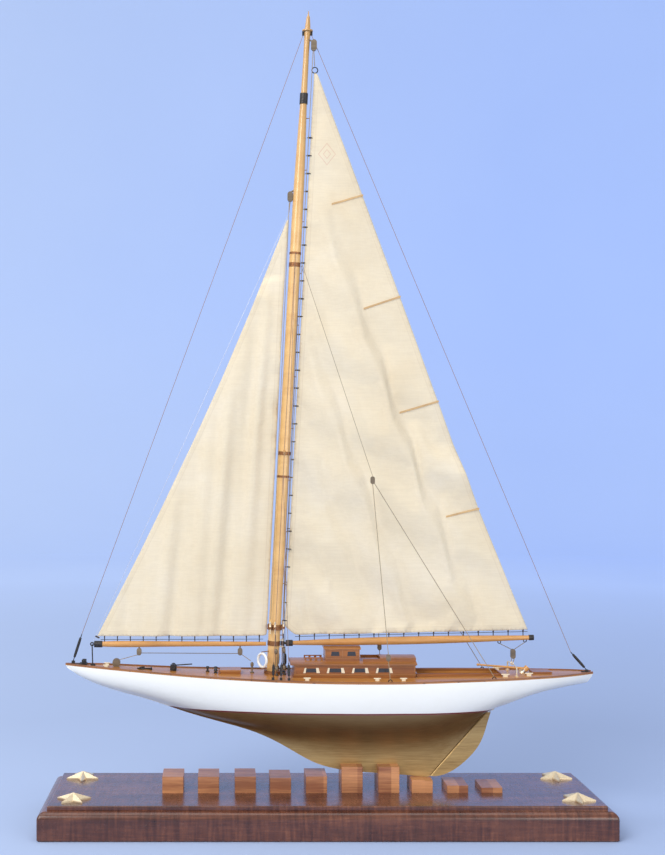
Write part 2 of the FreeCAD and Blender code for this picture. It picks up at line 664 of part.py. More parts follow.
# ---------------------------------------------------------------- main boom and mainsail
BOOM_START = V(-42.6, 0, 207.2)
BOOM_END = V(246.4, 0, 213.7)
MAIN_LUFF_GAP = 1.5
MAIN_TOP = 873.0
# Each batten: share of the leech below the head, length, rise of its aft end for each mm of length
BATTENS = [(0.217, 37.4, 0.31), (0.400, 43.8, 0.34), (0.589, 45.6, 0.295), (0.782, 39.2, 0.24)]
# How far each sail edge lies inside the straight line between its corners, from the lower corner up
LEECH_HOLLOW = [(0.0, 0.0), (0.12, 2.4), (0.25, 4.0), (0.38, 4.2), (0.5, 2.6), (0.62, 1.0), (0.8, 0.0), (1.0, 0.0)]
JIB_LUFF_HOLLOW = [(0.0, 0.0), (0.08, 2.2), (0.2, 5.2), (0.32, 7.0), (0.48, 8.4), (0.62, 8.4), (0.78, 5.8),
                   (0.9, 2.6), (1.0, 0.0)]


def boom_radius(fraction):
    return 2.1 + 2.4 * math.sin(math.pi * min(1.0, fraction * 1.05)) ** 0.8 + 0.4 * fraction


def on_line(a, b, fraction):
    return a + (b - a) * fraction


def hollow_edge(low, high, hollow, inward):
    """Corner points of a sail edge from low to high, moved inward (+1 aft, -1 forward) by the hollow table."""
    points = []
    for share, depth in hollow:
        p = on_line(low, high, share)
        points.append((p.x + inward * depth, p.z))
    return points


def jackline(start, end, spar_top, step, drop):
    """Foot line held by small posts on a spar; spar_top gives its height at x, drop how far it hangs."""
    parts = [rod(start - V(0, 0, drop), end - V(0, 0, drop), WIRE)]
    count = int((end.x - start.x) / step)
    for i in range(count + 1):
        p = on_line(start, end, (i + 0.3) / (count + 0.6))
        parts.append(rod(V(p.x, 0, spar_top(p.x)), V(p.x, 0, p.z + WIRE), 0.55))
    return one(parts)


def main_rig():
    pin_low, pin_high = V(luff_x(202), 0, 202), V(luff_x(212.6), 0, 212.6)
    bracket = []
    for z in (203.2, 210.8):
        x = luff_x(z)
        tongue = box(mast_x(z) + 6, x, -1.8, 1.8, z - 0.7, z + 0.7)
        eye = rod(V(luff_x(z - 0.7), 0, z - 0.7), V(luff_x(z + 0.7), 0, z + 0.7), 1.8)
        bracket.append(one([tongue, eye]).cut(nodes["mast"]).cut(nodes["mast_bands"]))
    pin = rod(pin_low, pin_high, 1.1)
    nodes["gooseneck_bracket"] = one([pin] + bracket)
    eye_low, eye_high = V(luff_x(204.6), 0, 204.6), V(luff_x(209.4), 0, 209.4)
    bore = rod(V(luff_x(200), 0, 200), V(luff_x(214), 0, 214), 1.1 + RUNNING_GAP)
    eye = rod(eye_low, eye_high, 2.3)
    shank = rod(V(luff_x(207), 0, 207), BOOM_START + V(3, 0, 0.1), 1.3)
    boom = spar(BOOM_START, BOOM_END, [(f, boom_radius(f)) for f in (0, 0.12, 0.3, 0.5, 0.7, 0.88, 1)])
    ferrule = sleeve(BOOM_START + V(0.2, 0, 0), BOOM_START + V(8, 0, 0.18), 3.6, 2.0).cut(boom)
    nodes["main_boom"] = boom
    jaw = one([eye, shank]).cut(bore).cut(boom)
    cap_start = BOOM_END - V(5, 0, 0.11)
    end_band = rod(cap_start, BOOM_END + V(0.6, 0, 0.02), 3.2).cut(boom)
    foot_start = V(-31.8, 0, 216.4)
    foot_end = V(240.0, 0, 222.2)

    def boom_top(x):
        fraction = (x - BOOM_START.x) / (BOOM_END.x - BOOM_START.x)
        return on_line(BOOM_START, BOOM_END, fraction).z + boom_radius(fraction) - 0.6
    foot_line = jackline(foot_start, foot_end, boom_top, 17.5, 1.6).cut(boom)
    sheet_eyes = []
    for x in (207.0, 237.0):
        fraction = (x - BOOM_START.x) / (BOOM_END.x - BOOM_START.x)
        z = on_line(BOOM_START, BOOM_END, fraction).z - boom_radius(fraction)
        sheet_eyes.append(largest(ring(V(x, 0, z - 0.9), V(0, 1, 0), 1.7, 0.5).cut(boom)))
    nodes["main_boom_fittings"] = group([jaw.cut(ferrule), ferrule, end_band, foot_line] + sheet_eyes)
    clew, head = V(240.1, 0, 223.0), V(luff_x(MAIN_TOP) + 6.0, 0, MAIN_TOP)
    outline = [(luff_x(227) + MAIN_LUFF_GAP, 227.0), (-31.8, 217.2)]
    outline += hollow_edge(clew, head, LEECH_HOLLOW, -1)
    outline.append((luff_x(MAIN_TOP) + MAIN_LUFF_GAP + 1, MAIN_TOP))
    nodes["mainsail"] = side_prism(outline, -SAIL_HALF, SAIL_HALF)
    strips = []
    for below_head, length, rise in BATTENS:
        share = 1.0 - below_head
        aft = on_line(clew, head, share) + V(1.2 - between(LEECH_HOLLOW, share), 0, -0.3)
        fore = aft + V(-length, 0, -length * rise)
        corners = [(fore.x, fore.z - 1), (aft.x, aft.z - 1), (aft.x, aft.z + 1), (fore.x, fore.z + 1)]
        strips.append(side_prism(corners, -SAIL_HALF - 0.6, -SAIL_HALF))
    nodes["sail_battens"] = group(strips)
    hanks = []
    for i in range(28):
        z = 233.5 + 20.9 * i
        if min(abs(z - post_z) for post_z in jackstay_posts()) < 2.0:
            z += 3.0
        low, high = V(luff_x(z - 0.45), 0, z - 0.45), V(luff_x(z + 0.45), 0, z + 0.45)
        hanks.append(sleeve(low, high, 1.6, 0.75).cut(nodes["mainsail"]))
    shackle = ring(V(-8.6, 0, 876.8), V(0, 1, 0), 3.4, 0.6)
    nodes["luff_hanks"] = group(hanks + [shackle.cut(nodes["mainsail"])])


# ---------------------------------------------------------------- jib
def jib_rig():
    start, end = V(-266.0, 0, 206.0), V(-65.7, 0, 206.4)
    boom = spar(start, end, [(0, 2.6), (0.06, 3.2), (0.4, 3.3), (0.8, 2.8), (1, 2.3)])
    nodes["jib_boom"] = boom
    ferrule = sleeve(start - V(0.4, 0, 0), start + V(9, 0, 0), 3.8, 1.0).cut(boom)
    eye = ring(JIB_PIVOT, V(0, 1, 0), 1.9, 0.6)
    neck = rod(V(-267.3, 0, 206), V(-265.6, 0, 206), 0.8)
    end_fitting = one([largest(ferrule), eye, neck]).cut(boom)
    base = rod(V(-268.0, 0, 172), V(-268.0, 0, deck_z(-268) + 1.6), 3.0)
    shackle = ring(V(-269.0, 0, 204.5), V(1, 0, 0.0), 1.9, 0.45)
    post = rod(V(-268.0, 0, 172), V(-268.9, 0, 202.9), 0.7)
    nodes["deck_eyes"] = on_deck(one([post, base, shackle]).cut(end_fitting))
    tack, luff_head = V(-262.9, 0, 215.4), V(jib_luff_x(702.0) + 0.9, 0, 702.0)
    clew, leech_knee, head = (-65.0, 216.0), (-45.6, 600.0), (jib_luff_x(702.0) + 2.6, 702.0)
    luff = hollow_edge(tack, luff_head, JIB_LUFF_HOLLOW, 1)
    nodes["jib"] = side_prism(luff + [head, leech_knee, clew], -SAIL_HALF, SAIL_HALF)
    luff_low = V(jib_luff_x(209.5), 0, 209.5)
    luff_high = V(jib_luff_x(709.2), 0, 709.2)
    nodes["jib_luff_wire"] = rod(luff_low, luff_high, WIRE)
    line_start, line_end = V(-259.0, 0, 214.3), V(-69.0, 0, 214.8)

    def top(x):
        return 208.0
    foot_line = jackline(line_start, line_end, top, 15.6, 3.0).cut(boom)
    nodes["jib_boom_fittings"] = group([end_fitting, foot_line.cut(end_fitting)])


# ---------------------------------------------------------------- standing rigging
STAY_FOOT = V(-281.0, 0, 217.8)
STAY_DECK = V(-291.0, 0, 186.5)
BACK_FOOT = V(290.5, 0, 196.7)
BACK_DECK = V(309.0, 0, 176.0)
CHAIN_X = (-59.0, -50.0, -41.0)


def rigging_screw(low, high):
    """Turnbuckle body with its two threaded ends, between two points."""
    along = (high - low) * (1.0 / (high - low).Length)
    length = (high - low).Length
    half = [(0.0, 0.5), (0.14, 0.5), (0.14, 1.3), (0.3, 1.6)]
    other = [(1.0 - share, radius) for share, radius in reversed(half)]
    return turned(low, along, [(length * share, radius) for share, radius in half + other])


def standing_rigging():
    stay_top = V(mast_x(919.0) - 4.5, 0, 919.0)
    back_top = V(mast_x(919.0) + 4.5, 0, 919.0)
    forestay = rod(STAY_FOOT, stay_top, WIRE)
    backstay = rod(BACK_FOOT, back_top, WIRE)
    tangs = [box(mast_x(919) - 6.0, mast_x(919) - 3.6, -1, 1, 917.5, 921.8),
             box(mast_x(919) + 3.6, mast_x(919) + 6.0, -1, 1, 917.5, 921.8)]
    cutters = [forestay, backstay, nodes["mast"], nodes["mast_truck"]]
    made = []
    for tang in tangs:
        for cutter in cutters:
            tang = tang.cut(cutter)
        made.append(largest(tang))
    screws = [rigging_screw(STAY_DECK, STAY_FOOT), rigging_screw(BACK_DECK, BACK_FOOT)]
    plates, wires = [], []
    for index, x in enumerate(CHAIN_X):
        y = sheer_half(x) - 3.2
        z = deck_z(x, y)
        lug_top = z + 4.0
        plate = on_deck(box(x - 1.6, x + 1.6, y - 0.6, y + 0.6, 160, lug_top))
        screw_low = V(x, y, lug_top)
        target = V(mast_x(648.0), 7.4, 648.0) if index == 1 else V(mast_x(429.0) - 2.0, 44.0, 431.6)
        if index == 2:
            target = V(mast_x(402.0), 7.9, 402.0)
        direction = (target - screw_low).normalize()
        screw_high = screw_low + direction * 17.0
        screw = rigging_screw(screw_low, screw_high)
        plates.append(plate)
        screws.append(screw.cut(plate))
        screws.append(mirrored(screws[-1]))
        wires.append((screw_high, target, index))
    nodes["chainplates"] = group([pair(p) for p in plates])
    nodes["rigging_screws"] = group(screws)
    stays = [forestay.cut(nodes["rigging_screws"]), backstay.cut(nodes["rigging_screws"])]
    lines = []
    for low, high, index in wires:
        if index == 0:
            upper_low = V(high.x, high.y, 433.6)
            upper_high = V(mast_x(662.5), 7.2, 662.5)
            lines.append(rod(low, V(high.x, high.y, 429.6), WIRE))
            lines.append(rod(upper_low, upper_high, WIRE))
        elif index == 1:
            lines.append(rod(low, high, WIRE))
        else:
            lines.append(rod(low, high, WIRE))
    solid_lines = []
    for line in lines:
        for cutter in (nodes["spreaders"], nodes["mast_bands"], nodes["mast"], nodes["rigging_screws"]):
            line = line.cut(cutter)
        solid_lines.append(largest(line))
    nodes["stays_and_shrouds"] = group(stays + [pair(w) for w in solid_lines])
    nodes["mast_bands"] = group([nodes["mast_bands"]] + made)
    stem = one([box(-297.0, -284.0, -1.6, 1.6, 170, deck_z(-291) + 1.0),
                box(-293.0, -289.0, -0.8, 0.8, 170, STAY_DECK.z + 0.2)])
    stern = one([box(303.0, 313.0, -2.0, 2.0, 165, deck_z(309) + 0.9),
                 box(307.4, 310.8, -0.8, 0.8, 165, BACK_DECK.z + 0.2)])
    ends = []
    for plate in (stem, stern):
        ends.append(largest(on_deck(plate).cut(nodes["rigging_screws"]).cut(nodes["toe_rails"])))
    nodes["deck_eyes"] = group([nodes["deck_eyes"]] + ends)


def runners():
    lines, pulleys, feet = [], [], []
    top = V(-24.0, 7.2, 649.0)
    upper = V(55.9, 27.0, 402.6)
    middle = V(55.9, 27.0, 398.0)
    fore_foot = V(74.0, 44.5, deck_z(74, 44.5) + 2.6)
    low_block = on_line(middle, fore_foot, 0.89)
    aft_foot = V(194.0, 34.8, deck_z(194, 34.8) + 2.6)
    pulleys.append(pulley(middle.x, middle.y, middle.z, 9.0, 5.0, 3.0))
    pulleys.append(pulley(low_block.x, low_block.y, low_block.z, 8.0, 5.0, 3.0))
    lines.append(rod(top, upper, WIRE))
    lines.append(rod(middle - V(0, 0, 4), low_block + V(0, 0, 3.6), ROPE))
    lines.append(rod(middle + V(2, 0, -3.4), aft_foot, ROPE))
    lines.append(rod(low_block - V(0, 0, 3.6), fore_foot, ROPE))
    for foot in (fore_foot, aft_foot):
        eye = ring(V(foot.x, foot.y, foot.z - 1.6), V(0, 1, 0), 1.9, 0.55)
        base = rod(V(foot.x, foot.y, 160), V(foot.x, foot.y, foot.z - 2.4), 2.6)
        feet.append(on_deck(one([eye, base])))
    cut_lines = []
    for line in lines:
        for cutter in pulleys + feet + [nodes["mast_bands"], nodes["mast"]]:
            line = line.cut(cutter)
        cut_lines.append(largest(line))
    nodes["runner_lines"] = group([pair(line) for line in cut_lines])
    nodes["rigging_blocks"] = group([pair(p) for p in pulleys])
    nodes["deck_eyes"] = group([nodes["deck_eyes"]] + [pair(f) for f in feet])


# ---------------------------------------------------------------- running rigging
def halyards():
    jib_block = pulley(-37.4, 0, 729.0, 12.0, 6.4, 4.0)
    main_block = pulley(-9.9, -3.2, 905.0, 13.0, 6.6, 4.0)
    jib_hanger = rod(V(mast_x(735.5) - 5.2, 0, 736.5), V(-37.4, 0, 734.0), 0.9)
    main_hanger = rod(V(mast_x(912.0) + 1, -2.4, 912.5), V(-9.9, -3.2, 908.5), 0.9)
    blocks = []
    for item in (one([jib_block, jib_hanger]), one([main_block, main_hanger])):
        blocks.append(item.cut(nodes["mast"]).cut(nodes["mast_bands"]))
    nodes["rigging_blocks"] = group([nodes["rigging_blocks"]] + [largest(b) for b in blocks])
    jib_fall = rod(V(-37.4, 0, 723.0), V(jib_luff_x(710.0) - 0.6, 0, 710.0), ROPE)
    main_fall = rod(V(-9.9, -3.2, 898.4), V(-8.8, -0.4, 881.4), ROPE)
    main_down = rod(V(mast_x(236) + 9.7, -5.6, 236), V(-10.9, -3.4, 898.8), ROPE)
    jib_down = rod(V(mast_x(236) - 5.6, -9.9, 236), V(-38.6, -2.6, 722.0), ROPE)
    spare_down = rod(V(mast_x(236) + 9.7, 5.6, 236), V(mast_x(655) + 6.6, 4.2, 655), ROPE)
    down = []
    for line in (main_down, jib_down, spare_down):
        for cutter in (nodes["mast"], nodes["mast_bands"], nodes["rigging_blocks"], nodes["spreaders"]):
            line = line.cut(cutter)
        down.append(line)
    nodes["halyards"] = group([largest(d) for d in down] + [jib_fall, main_fall])


def sheets():
    horse_x, horse_half, crest = 222.0, 27.0, 183.4
    feet, legs = [], []
    shoulder = V(horse_x, horse_half - 3, crest - 1.4)
    far_shoulder = V(horse_x, 3 - horse_half, crest - 1.4)
    path = Part.Wire([Part.Arc(far_shoulder, V(horse_x, 0, crest), shoulder).toShape()])
    tangent = path.Edges[0].tangentAt(path.Edges[0].FirstParameter)
    ring_face = Part.Wire([Part.Circle(far_shoulder, tangent, 0.7).toShape()])
    bar = path.makePipeShell([ring_face], True, True)
    for sign in (-1, 1):
        y = sign * (horse_half - 3)
        legs.append(rod(V(horse_x, y, 165), V(horse_x, y, crest - 1.2), 0.9))
        feet.append(rod(V(horse_x, y, 165), V(horse_x, y, deck_z(horse_x, abs(y)) + 1.4), 2.2))
    nodes["mainsheet_horse"] = on_deck(one([bar] + legs + feet))
    traveller = ring(V(horse_x, 0, crest), V(0, 1, 0), 1.6, 0.5)
    nodes["mainsheet_horse"] = group([nodes["mainsheet_horse"], traveller])
    block = pulley(223.0, 0, 194.6, 11.4, 5.6, 4.0)
    bridle = [rod(V(207.6, 0, 206.6), V(221.8, 0, 199.6), ROPE),
              rod(V(236.6, 0, 208.0), V(224.2, 0, 199.6), ROPE)]
    for cutter in (nodes["main_boom_fittings"], block):
        bridle = [b.cut(cutter) for b in bridle]
    nodes["mainsheet_block"] = group([block] + [largest(b) for b in bridle])
    nodes["mainsheet_falls"] = group([
        rod(V(horse_x - 0.9, 0, 185.9), V(221.2, 0, 188.8), ROPE),
        rod(V(horse_x + 1.5, 0, 185.9), V(224.6, 0, 188.8), ROPE)])


def jib_sheet_gear():
    deck_block = pulley(-240.5, 0, 184.2, 10.6, 9.0, 4.0)
    deck_block = on_deck(one([deck_block, rod(V(-240.5, 0, 165), V(-240.5, 0, 180), 1.6)]))
    boom_blocks = []
    for x in (-214.0, -96.0):
        block = pulley(x, 0, 197.2, 8.6, 5.6, 3.4)
        hanger = rod(V(x, 0, 200.5), V(x, 0, 204.0), 0.8)
        boom_blocks.append(one([block, hanger]).cut(nodes["jib_boom"]))
    line = rod(V(-211.4, 0, 195.6), V(-98.6, 0, 195.0), ROPE)
    for cutter in boom_blocks:
        line = line.cut(cutter)
    nodes["jib_boom_blocks"] = group([largest(b) for b in boom_blocks] + [largest(line)])
    foot = deck_z(-82) - 165 + 1.2
    post = turned(V(-82.0, 0, 165), V(0, 0, 1), [
        (0, 2.4), (foot, 2.4), (foot, 0.9), (14.0, 0.9), (16.0, 1.9), (18.5, 1.9), (20.0, 0.8)])
    nodes["jib_sheet_gear"] = group([deck_block, on_deck(post)])
    falls = [rod(V(-237.4, 0, 187.6), V(-216.0, 0, 193.4), ROPE),
             rod(V(-93.8, 0, 193.6), V(-83.4, 0, 186.4), ROPE)]
    cutters = (nodes["jib_sheet_gear"], nodes["jib_boom_blocks"])
    nodes["jib_sheet_falls"] = group([largest(f.cut(cutters[0]).cut(cutters[1])) for f in falls])


# ---------------------------------------------------------------- deck fittings
def cleat(x, y, size):
    """Two-horned cleat on a low foot, its horns along X."""
    z = deck_z(x, y)
    foot = box(x - size * 0.28, x + size * 0.28, y - 0.8, y + 0.8, 160, z + size * 0.28)
    horns = rod(V(x - size / 2, y, z + size * 0.34), V(x + size / 2, y, z + size * 0.34), 0.7)
    return on_deck(one([foot, horns]))


def fittings():
    bitt_z = deck_z(-276.0)
    bitts = [box(-280.6, -276.0, y - 1.4, y + 1.4, 165, bitt_z + 6.4) for y in (-3.6, 3.6)]
    bitts.append(box(-283.4, -275.0, -5.2, 5.2, 165, bitt_z + 2.6))
    cross = rod(V(-278.4, -6.8, bitt_z + 4.8), V(-278.4, 6.8, bitt_z + 4.8), 1.3)
    gear = [on_deck(one(bitts + [cross]))]
    z = deck_z(-207.0)
    shank = box(-216.0, -198.5, -6.6, -5.4, z - 1, z + 1.6)
    arms = Part.makeTorus(6.5, 0.8, V(-207.0, -6.0, z + 1.4), V(0, 0, 1), 0, 360, 170)
    arms.rotate(V(-207.0, -6.0, z + 1.4), V(0, 0, 1), 95)
    stock = rod(V(-199.8, -11.4, z + 1.5), V(-199.8, -0.8, z + 1.5), 0.8)
    nodes["anchor"] = on_deck(one([shank, arms, stock]))
    z = deck_z(-174.0)
    half_drum = [(0, 2.8), (1.2, 2.8), (1.2, 1.8), (4.6, 1.8), (4.6, 2.6)]
    other_half = [(16.0 - s, r) for s, r in reversed(half_drum)]
    drum = turned(V(-174.0, -8.0, z + 4.4), V(0, 1, 0), half_drum + other_half)
    cheeks = [box(-177.6, -170.4, y - 0.8, y + 0.8, 160, z + 5.6) for y in (-4.6, 4.6)]
    bar = rod(V(-172.4, 0, z + 5.6), V(-152.0, 0, z + 7.0), 0.7)
    gear.append(on_deck(one([drum, bar] + cheeks)))
    for x, y, height in ((-134.0, 0.0, 6.2), (-124.5, 8.0, 5.0), (-124.5, -8.0, 5.0)):
        z = deck_z(x, y)
        gear.append(on_deck(turned(V(x, y, 165), V(0, 0, 1), [
            (0, 2.2), (z - 165 + 1.0, 2.2), (z - 165 + 1.0, 1.2), (z - 165 + height - 2, 1.2),
            (z - 165 + height - 2, 2.3), (z - 165 + height, 1.6)])))
    nodes["foredeck_gear"] = group(gear)
    mast_at = mast_x(189.0)
    reach = 15.9
    facing = V(-0.8, -0.6, 0)
    centre = V(mast_at, 0, 188.5) + facing * reach
    nodes["life_ring"] = ring(centre, facing, 7.75, 1.5)
    hook_z = 188.5 + 7.75 + 1.5 + 0.5
    hook = rod(V(mast_at, 0, hook_z), V(mast_at, 0, hook_z) + facing * (reach + 1.2), 0.5)
    nodes["mast_bands"] = group([nodes["mast_bands"], hook.cut(nodes["mast"])])
    spots = [(209.0, 24.0, 9.0), (237.0, 20.0, 9.0), (60.0, 38.0, 8.0), (90.0, 38.0, 8.0), (-20.0, 38.0, 8.0),
             (-252.0, 8.0, 7.0)]
    nodes["deck_cleats"] = group([pair(cleat(x, y, s)) for x, y, s in spots])


# ---------------------------------------------------------------- build
stand()
hull_and_deck()
cabin()
steering()
spars()
main_rig()
jib_rig()
standing_rigging()
runners()
halyards()
sheets()
jib_sheet_gear()
fittings()

os.makedirs("parts", exist_ok=True)
for name, shape in nodes.items():
    solids = shape.Solids
    whole = bool(solids) and all(s.isValid() and s.Volume > 0 for s in solids)
    state = "ok" if whole else "BAD"
    print(f"{name:24s} solids {len(solids):3d}  volume {sum(s.Volume for s in solids):12.2f}  {state}")
    shape.exportStep(f"parts/{name}.step")
print(len(nodes), "nodes")
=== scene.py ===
"""Looks of a classic racing sloop model on its display base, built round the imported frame."""
import json
import math

import bpy
import numpy as np
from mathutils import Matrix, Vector
from mathutils.bvhtree import BVHTree
from mathutils.geometry import delaunay_2d_cdt


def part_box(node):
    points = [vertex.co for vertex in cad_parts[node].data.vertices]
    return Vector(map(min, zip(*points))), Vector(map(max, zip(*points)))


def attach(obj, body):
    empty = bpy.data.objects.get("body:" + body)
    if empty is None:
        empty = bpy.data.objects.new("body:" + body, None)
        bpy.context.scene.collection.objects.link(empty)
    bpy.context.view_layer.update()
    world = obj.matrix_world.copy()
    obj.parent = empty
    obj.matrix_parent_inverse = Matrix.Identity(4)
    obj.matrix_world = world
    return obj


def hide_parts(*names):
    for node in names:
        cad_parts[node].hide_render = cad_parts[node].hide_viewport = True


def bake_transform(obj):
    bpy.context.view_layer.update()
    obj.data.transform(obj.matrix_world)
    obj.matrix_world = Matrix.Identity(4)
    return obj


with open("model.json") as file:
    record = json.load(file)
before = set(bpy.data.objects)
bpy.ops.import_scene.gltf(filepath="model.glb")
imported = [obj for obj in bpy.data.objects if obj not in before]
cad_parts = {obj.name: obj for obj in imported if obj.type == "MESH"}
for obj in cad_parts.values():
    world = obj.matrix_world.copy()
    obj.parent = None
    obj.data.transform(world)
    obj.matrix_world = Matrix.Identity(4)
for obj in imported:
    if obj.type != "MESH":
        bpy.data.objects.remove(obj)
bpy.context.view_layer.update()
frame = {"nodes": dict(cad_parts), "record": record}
nodes = frame["nodes"]
MM = 0.001

# ---------------------------------------------------------------- driving sizes, in metres
WATERLINE = 0.132
BOOT_WIDTH = 0.0019
MAST_LEAN = 0.05505
LUFF_LEAN = 0.052
# Width of the mainsail's hem, and the size of the cloth mesh's triangles.
HEM = 0.0062
CELL = 0.0052
# Corners of the two sails as (x, z); luffs run up from the tack to the head's height.
MAIN_TACK = (-0.0318, 0.2172)
MAIN_CLEW = (0.2401, 0.2230)
MAIN_LUFF_FOOT_Z = 0.227
MAIN_HEAD_Z = 0.873
JIB_TACK = (-0.2629, 0.2154)
JIB_CLEW = (-0.0650, 0.2160)
JIB_KNEE = (-0.0456, 0.600)
JIB_HEAD_Z = 0.702
# Spacing of the ties along each foot, and of the rings up the mainsail's luff.
MAIN_TIE_STEP = 0.0175
JIB_TIE_STEP = 0.0156
HANK_HEIGHTS = [0.2335 + 0.0209 * i for i in range(28)]
# Inward hollow of an edge in millimetres, against the share of the way up it.
LEECH_HOLLOW = [(0.0, 0.0), (0.12, 2.4), (0.25, 4.0), (0.38, 4.2), (0.5, 2.6), (0.62, 1.0), (0.8, 0.0),
                (1.0, 0.0)]
JIB_LUFF_HOLLOW = [(0.0, 0.0), (0.08, 2.2), (0.2, 5.2), (0.32, 7.0), (0.48, 8.4), (0.62, 8.4), (0.78, 5.8),
                   (0.9, 2.6), (1.0, 0.0)]
# Each batten's share of the leech below the head, length in millimetres and slope.
BATTENS = [(0.217, 37.4, 0.31), (0.400, 43.8, 0.34), (0.589, 45.6, 0.295), (0.782, 39.2, 0.24)]
ROPE_RADIUS = 0.0004
THREAD_RADIUS = 0.00034
# The sail mark: a lozenge outline near the head, its centre and half height.
EMBLEM_X, EMBLEM_Z, EMBLEM_HALF = 0.0056, 0.779, 0.0125


def mast_x(z):
    """Centre of the mast at height z."""
    return -0.0567 + (z - 0.205) * MAST_LEAN


def luff_x(z):
    """The axis that the main boom and mainsail turn about."""
    return -0.0466 + (z - 0.205) * LUFF_LEAN


def jib_luff_x(z):
    """The jib's luff wire at height z."""
    return -0.269 + (z - 0.206) * (0.2275 / 0.497)


# ---------------------------------------------------------------- material helpers
class Graph:
    """Small helper to write a node material."""

    def __init__(self, name):
        self.material = bpy.data.materials.new(name)
        self.material.use_nodes = True
        self.tree = self.material.node_tree
        self.tree.nodes.clear()
        self.out = self.tree.nodes.new("ShaderNodeOutputMaterial")

    def add(self, kind, settings=None, **inputs):
        node = self.tree.nodes.new("ShaderNode" + kind)
        for key, value in (settings or {}).items():
            setattr(node, key, value)
        for key, value in inputs.items():
            self.put(node, key.replace("_", " "), value)
        return node

    def put(self, node, name, value):
        socket = node.inputs[int(name)] if name.isdigit() else node.inputs[name]
        if isinstance(value, bpy.types.NodeSocket):
            self.tree.links.new(value, socket)
        elif isinstance(value, tuple) and socket.type == "RGBA" and len(value) == 3:
            socket.default_value = (*value, 1.0)
        else:
            socket.default_value = value

    def math(self, operation, a, b=0.0):
        node = self.tree.nodes.new("ShaderNodeMath")
        node.operation = operation
        for i, value in enumerate((a, b)):
            self.put(node, str(i), value)
        return node.outputs[0]

    def mix(self, factor, a, b, kind="RGBA"):
        """Colours mixed by factor, or with kind FLOAT plain numbers."""
        node = self.tree.nodes.new("ShaderNodeMix")
        node.data_type = kind
        node.clamp_factor = True
        first = {"RGBA": 6, "FLOAT": 2}[kind]
        self.put(node, "0", factor)
        for i, value in ((first, a), (first + 1, b)):
            self.put(node, str(i), value)
        return node.outputs[{"RGBA": 2, "FLOAT": 0}[kind]]

    def ramp(self, factor, stops):
        node = self.tree.nodes.new("ShaderNodeValToRGB")
        ramp = node.color_ramp
        while len(ramp.elements) > 1:
            ramp.elements.remove(ramp.elements[-1])
        for i, (place, colour) in enumerate(stops):
            element = ramp.elements[0] if i == 0 else ramp.elements.new(place)
            element.position = place
            element.color = (*colour, 1.0)
        self.put(node, "Fac", factor)
        return node.outputs["Color"]

    def level(self, factor, low, high):
        """Factor stretched so that low becomes 0 and high becomes 1."""
        node = self.add("MapRange", None, Value=factor)
        node.inputs["From Min"].default_value = low
        node.inputs["From Max"].default_value = high
        return node.outputs[0]

    def place(self, stretch=(1, 1, 1), turn=(0, 0, 0), shift=(0, 0, 0)):
        """Object coordinates, stretched and turned."""
        coords = self.add("TexCoord").outputs["Object"]
        node = self.add("Mapping", None, Vector=coords)
        node.inputs["Scale"].default_value = stretch
        node.inputs["Rotation"].default_value = turn
        node.inputs["Location"].default_value = shift
        return node.outputs[0]

    def noise(self, vector, scale, detail=4.0, rough=0.55, warp=0.0):
        node = self.add("TexNoise", None, Vector=vector, Scale=scale, Detail=detail,
                        Roughness=rough, Distortion=warp)
        return node.outputs[0]

    def bump(self, height, distance, strength):
        return self.add("Bump", None, Height=height, Distance=distance, Strength=strength).outputs[0]

    def surface(self, **inputs):
        """Principled shader joined to the output."""
        shader = self.add("BsdfPrincipled", None, **inputs)
        self.tree.links.new(shader.outputs[0], self.out.inputs[0])
        return shader


def split(g, vector):
    """The x, y and z of a vector."""
    return g.add("SeparateXYZ", None, Vector=vector).outputs


def wood(name, dark, light, grain=(0, 0, 0), ring=900.0, gloss=0.28, coat=0.5, contrast=1.0,
         blotches=0.5, cells=None, aged_above=None):
    """Varnished wood with its grain along X, or along Z when grain turns it.

    cells gives each length of that size its own tone; above aged_above the varnish is darker.
    """
    g = Graph(name)
    long_way = g.place(stretch=(0.045, 1.0, 1.0), turn=grain)
    broad = g.noise(long_way, ring * 0.10, 3.0, 0.5, 0.6)
    fibre = g.noise(long_way, ring, 7.0, 0.65, 0.2)
    pores = g.noise(g.place(stretch=(0.02, 1.0, 1.0), turn=grain), ring * 3.2, 3.0, 0.6)
    tone = g.mix(0.45, broad, fibre, "FLOAT")
    if cells:
        piece = g.math("FLOOR", g.math("DIVIDE", split(g, g.place())[0], cells))
        own = g.add("TexWhiteNoise", {"noise_dimensions": "1D"}, W=piece).outputs[0]
        tone = g.math("ADD", tone, g.math("MULTIPLY", g.math("SUBTRACT", own, 0.5), 0.22))
    tone = g.level(tone, 0.5 - 0.19 / contrast, 0.5 + 0.19 / contrast)
    mid = tuple((d + l) * 0.5 for d, l in zip(dark, light))
    colour = g.ramp(tone, [(0.0, dark), (0.5, mid), (1.0, light)])
    dark_pores = g.level(pores, 0.42, 0.30)
    colour = g.mix(g.math("MULTIPLY", dark_pores, 0.45), colour, tuple(c * 0.45 for c in dark))
    blotch = g.noise(g.place(), 22.0, 3.0, 0.5)
    shade = g.math("MULTIPLY", g.level(blotch, 0.45, 0.75), blotches)
    colour = g.mix(shade, colour, tuple(c * 0.5 for c in mid))
    rough = g.mix(g.noise(g.place(), 160.0, 4.0), gloss * 0.8, gloss * 1.45, "FLOAT")
    if aged_above:
        aged = g.level(split(g, g.place())[2], aged_above - 0.12, aged_above + 0.12)
        colour = g.mix(g.math("MULTIPLY", aged, 0.62), colour, tuple(c * 0.60 for c in dark))
    normal = g.bump(g.mix(0.5, fibre, pores, "FLOAT"), 0.00006, 0.5)
    shader = g.surface(Base_Color=colour, Roughness=rough, Normal=normal)
    shader.inputs["Coat Weight"].default_value = coat
    shader.inputs["Coat Roughness"].default_value = 0.12
    return g.material


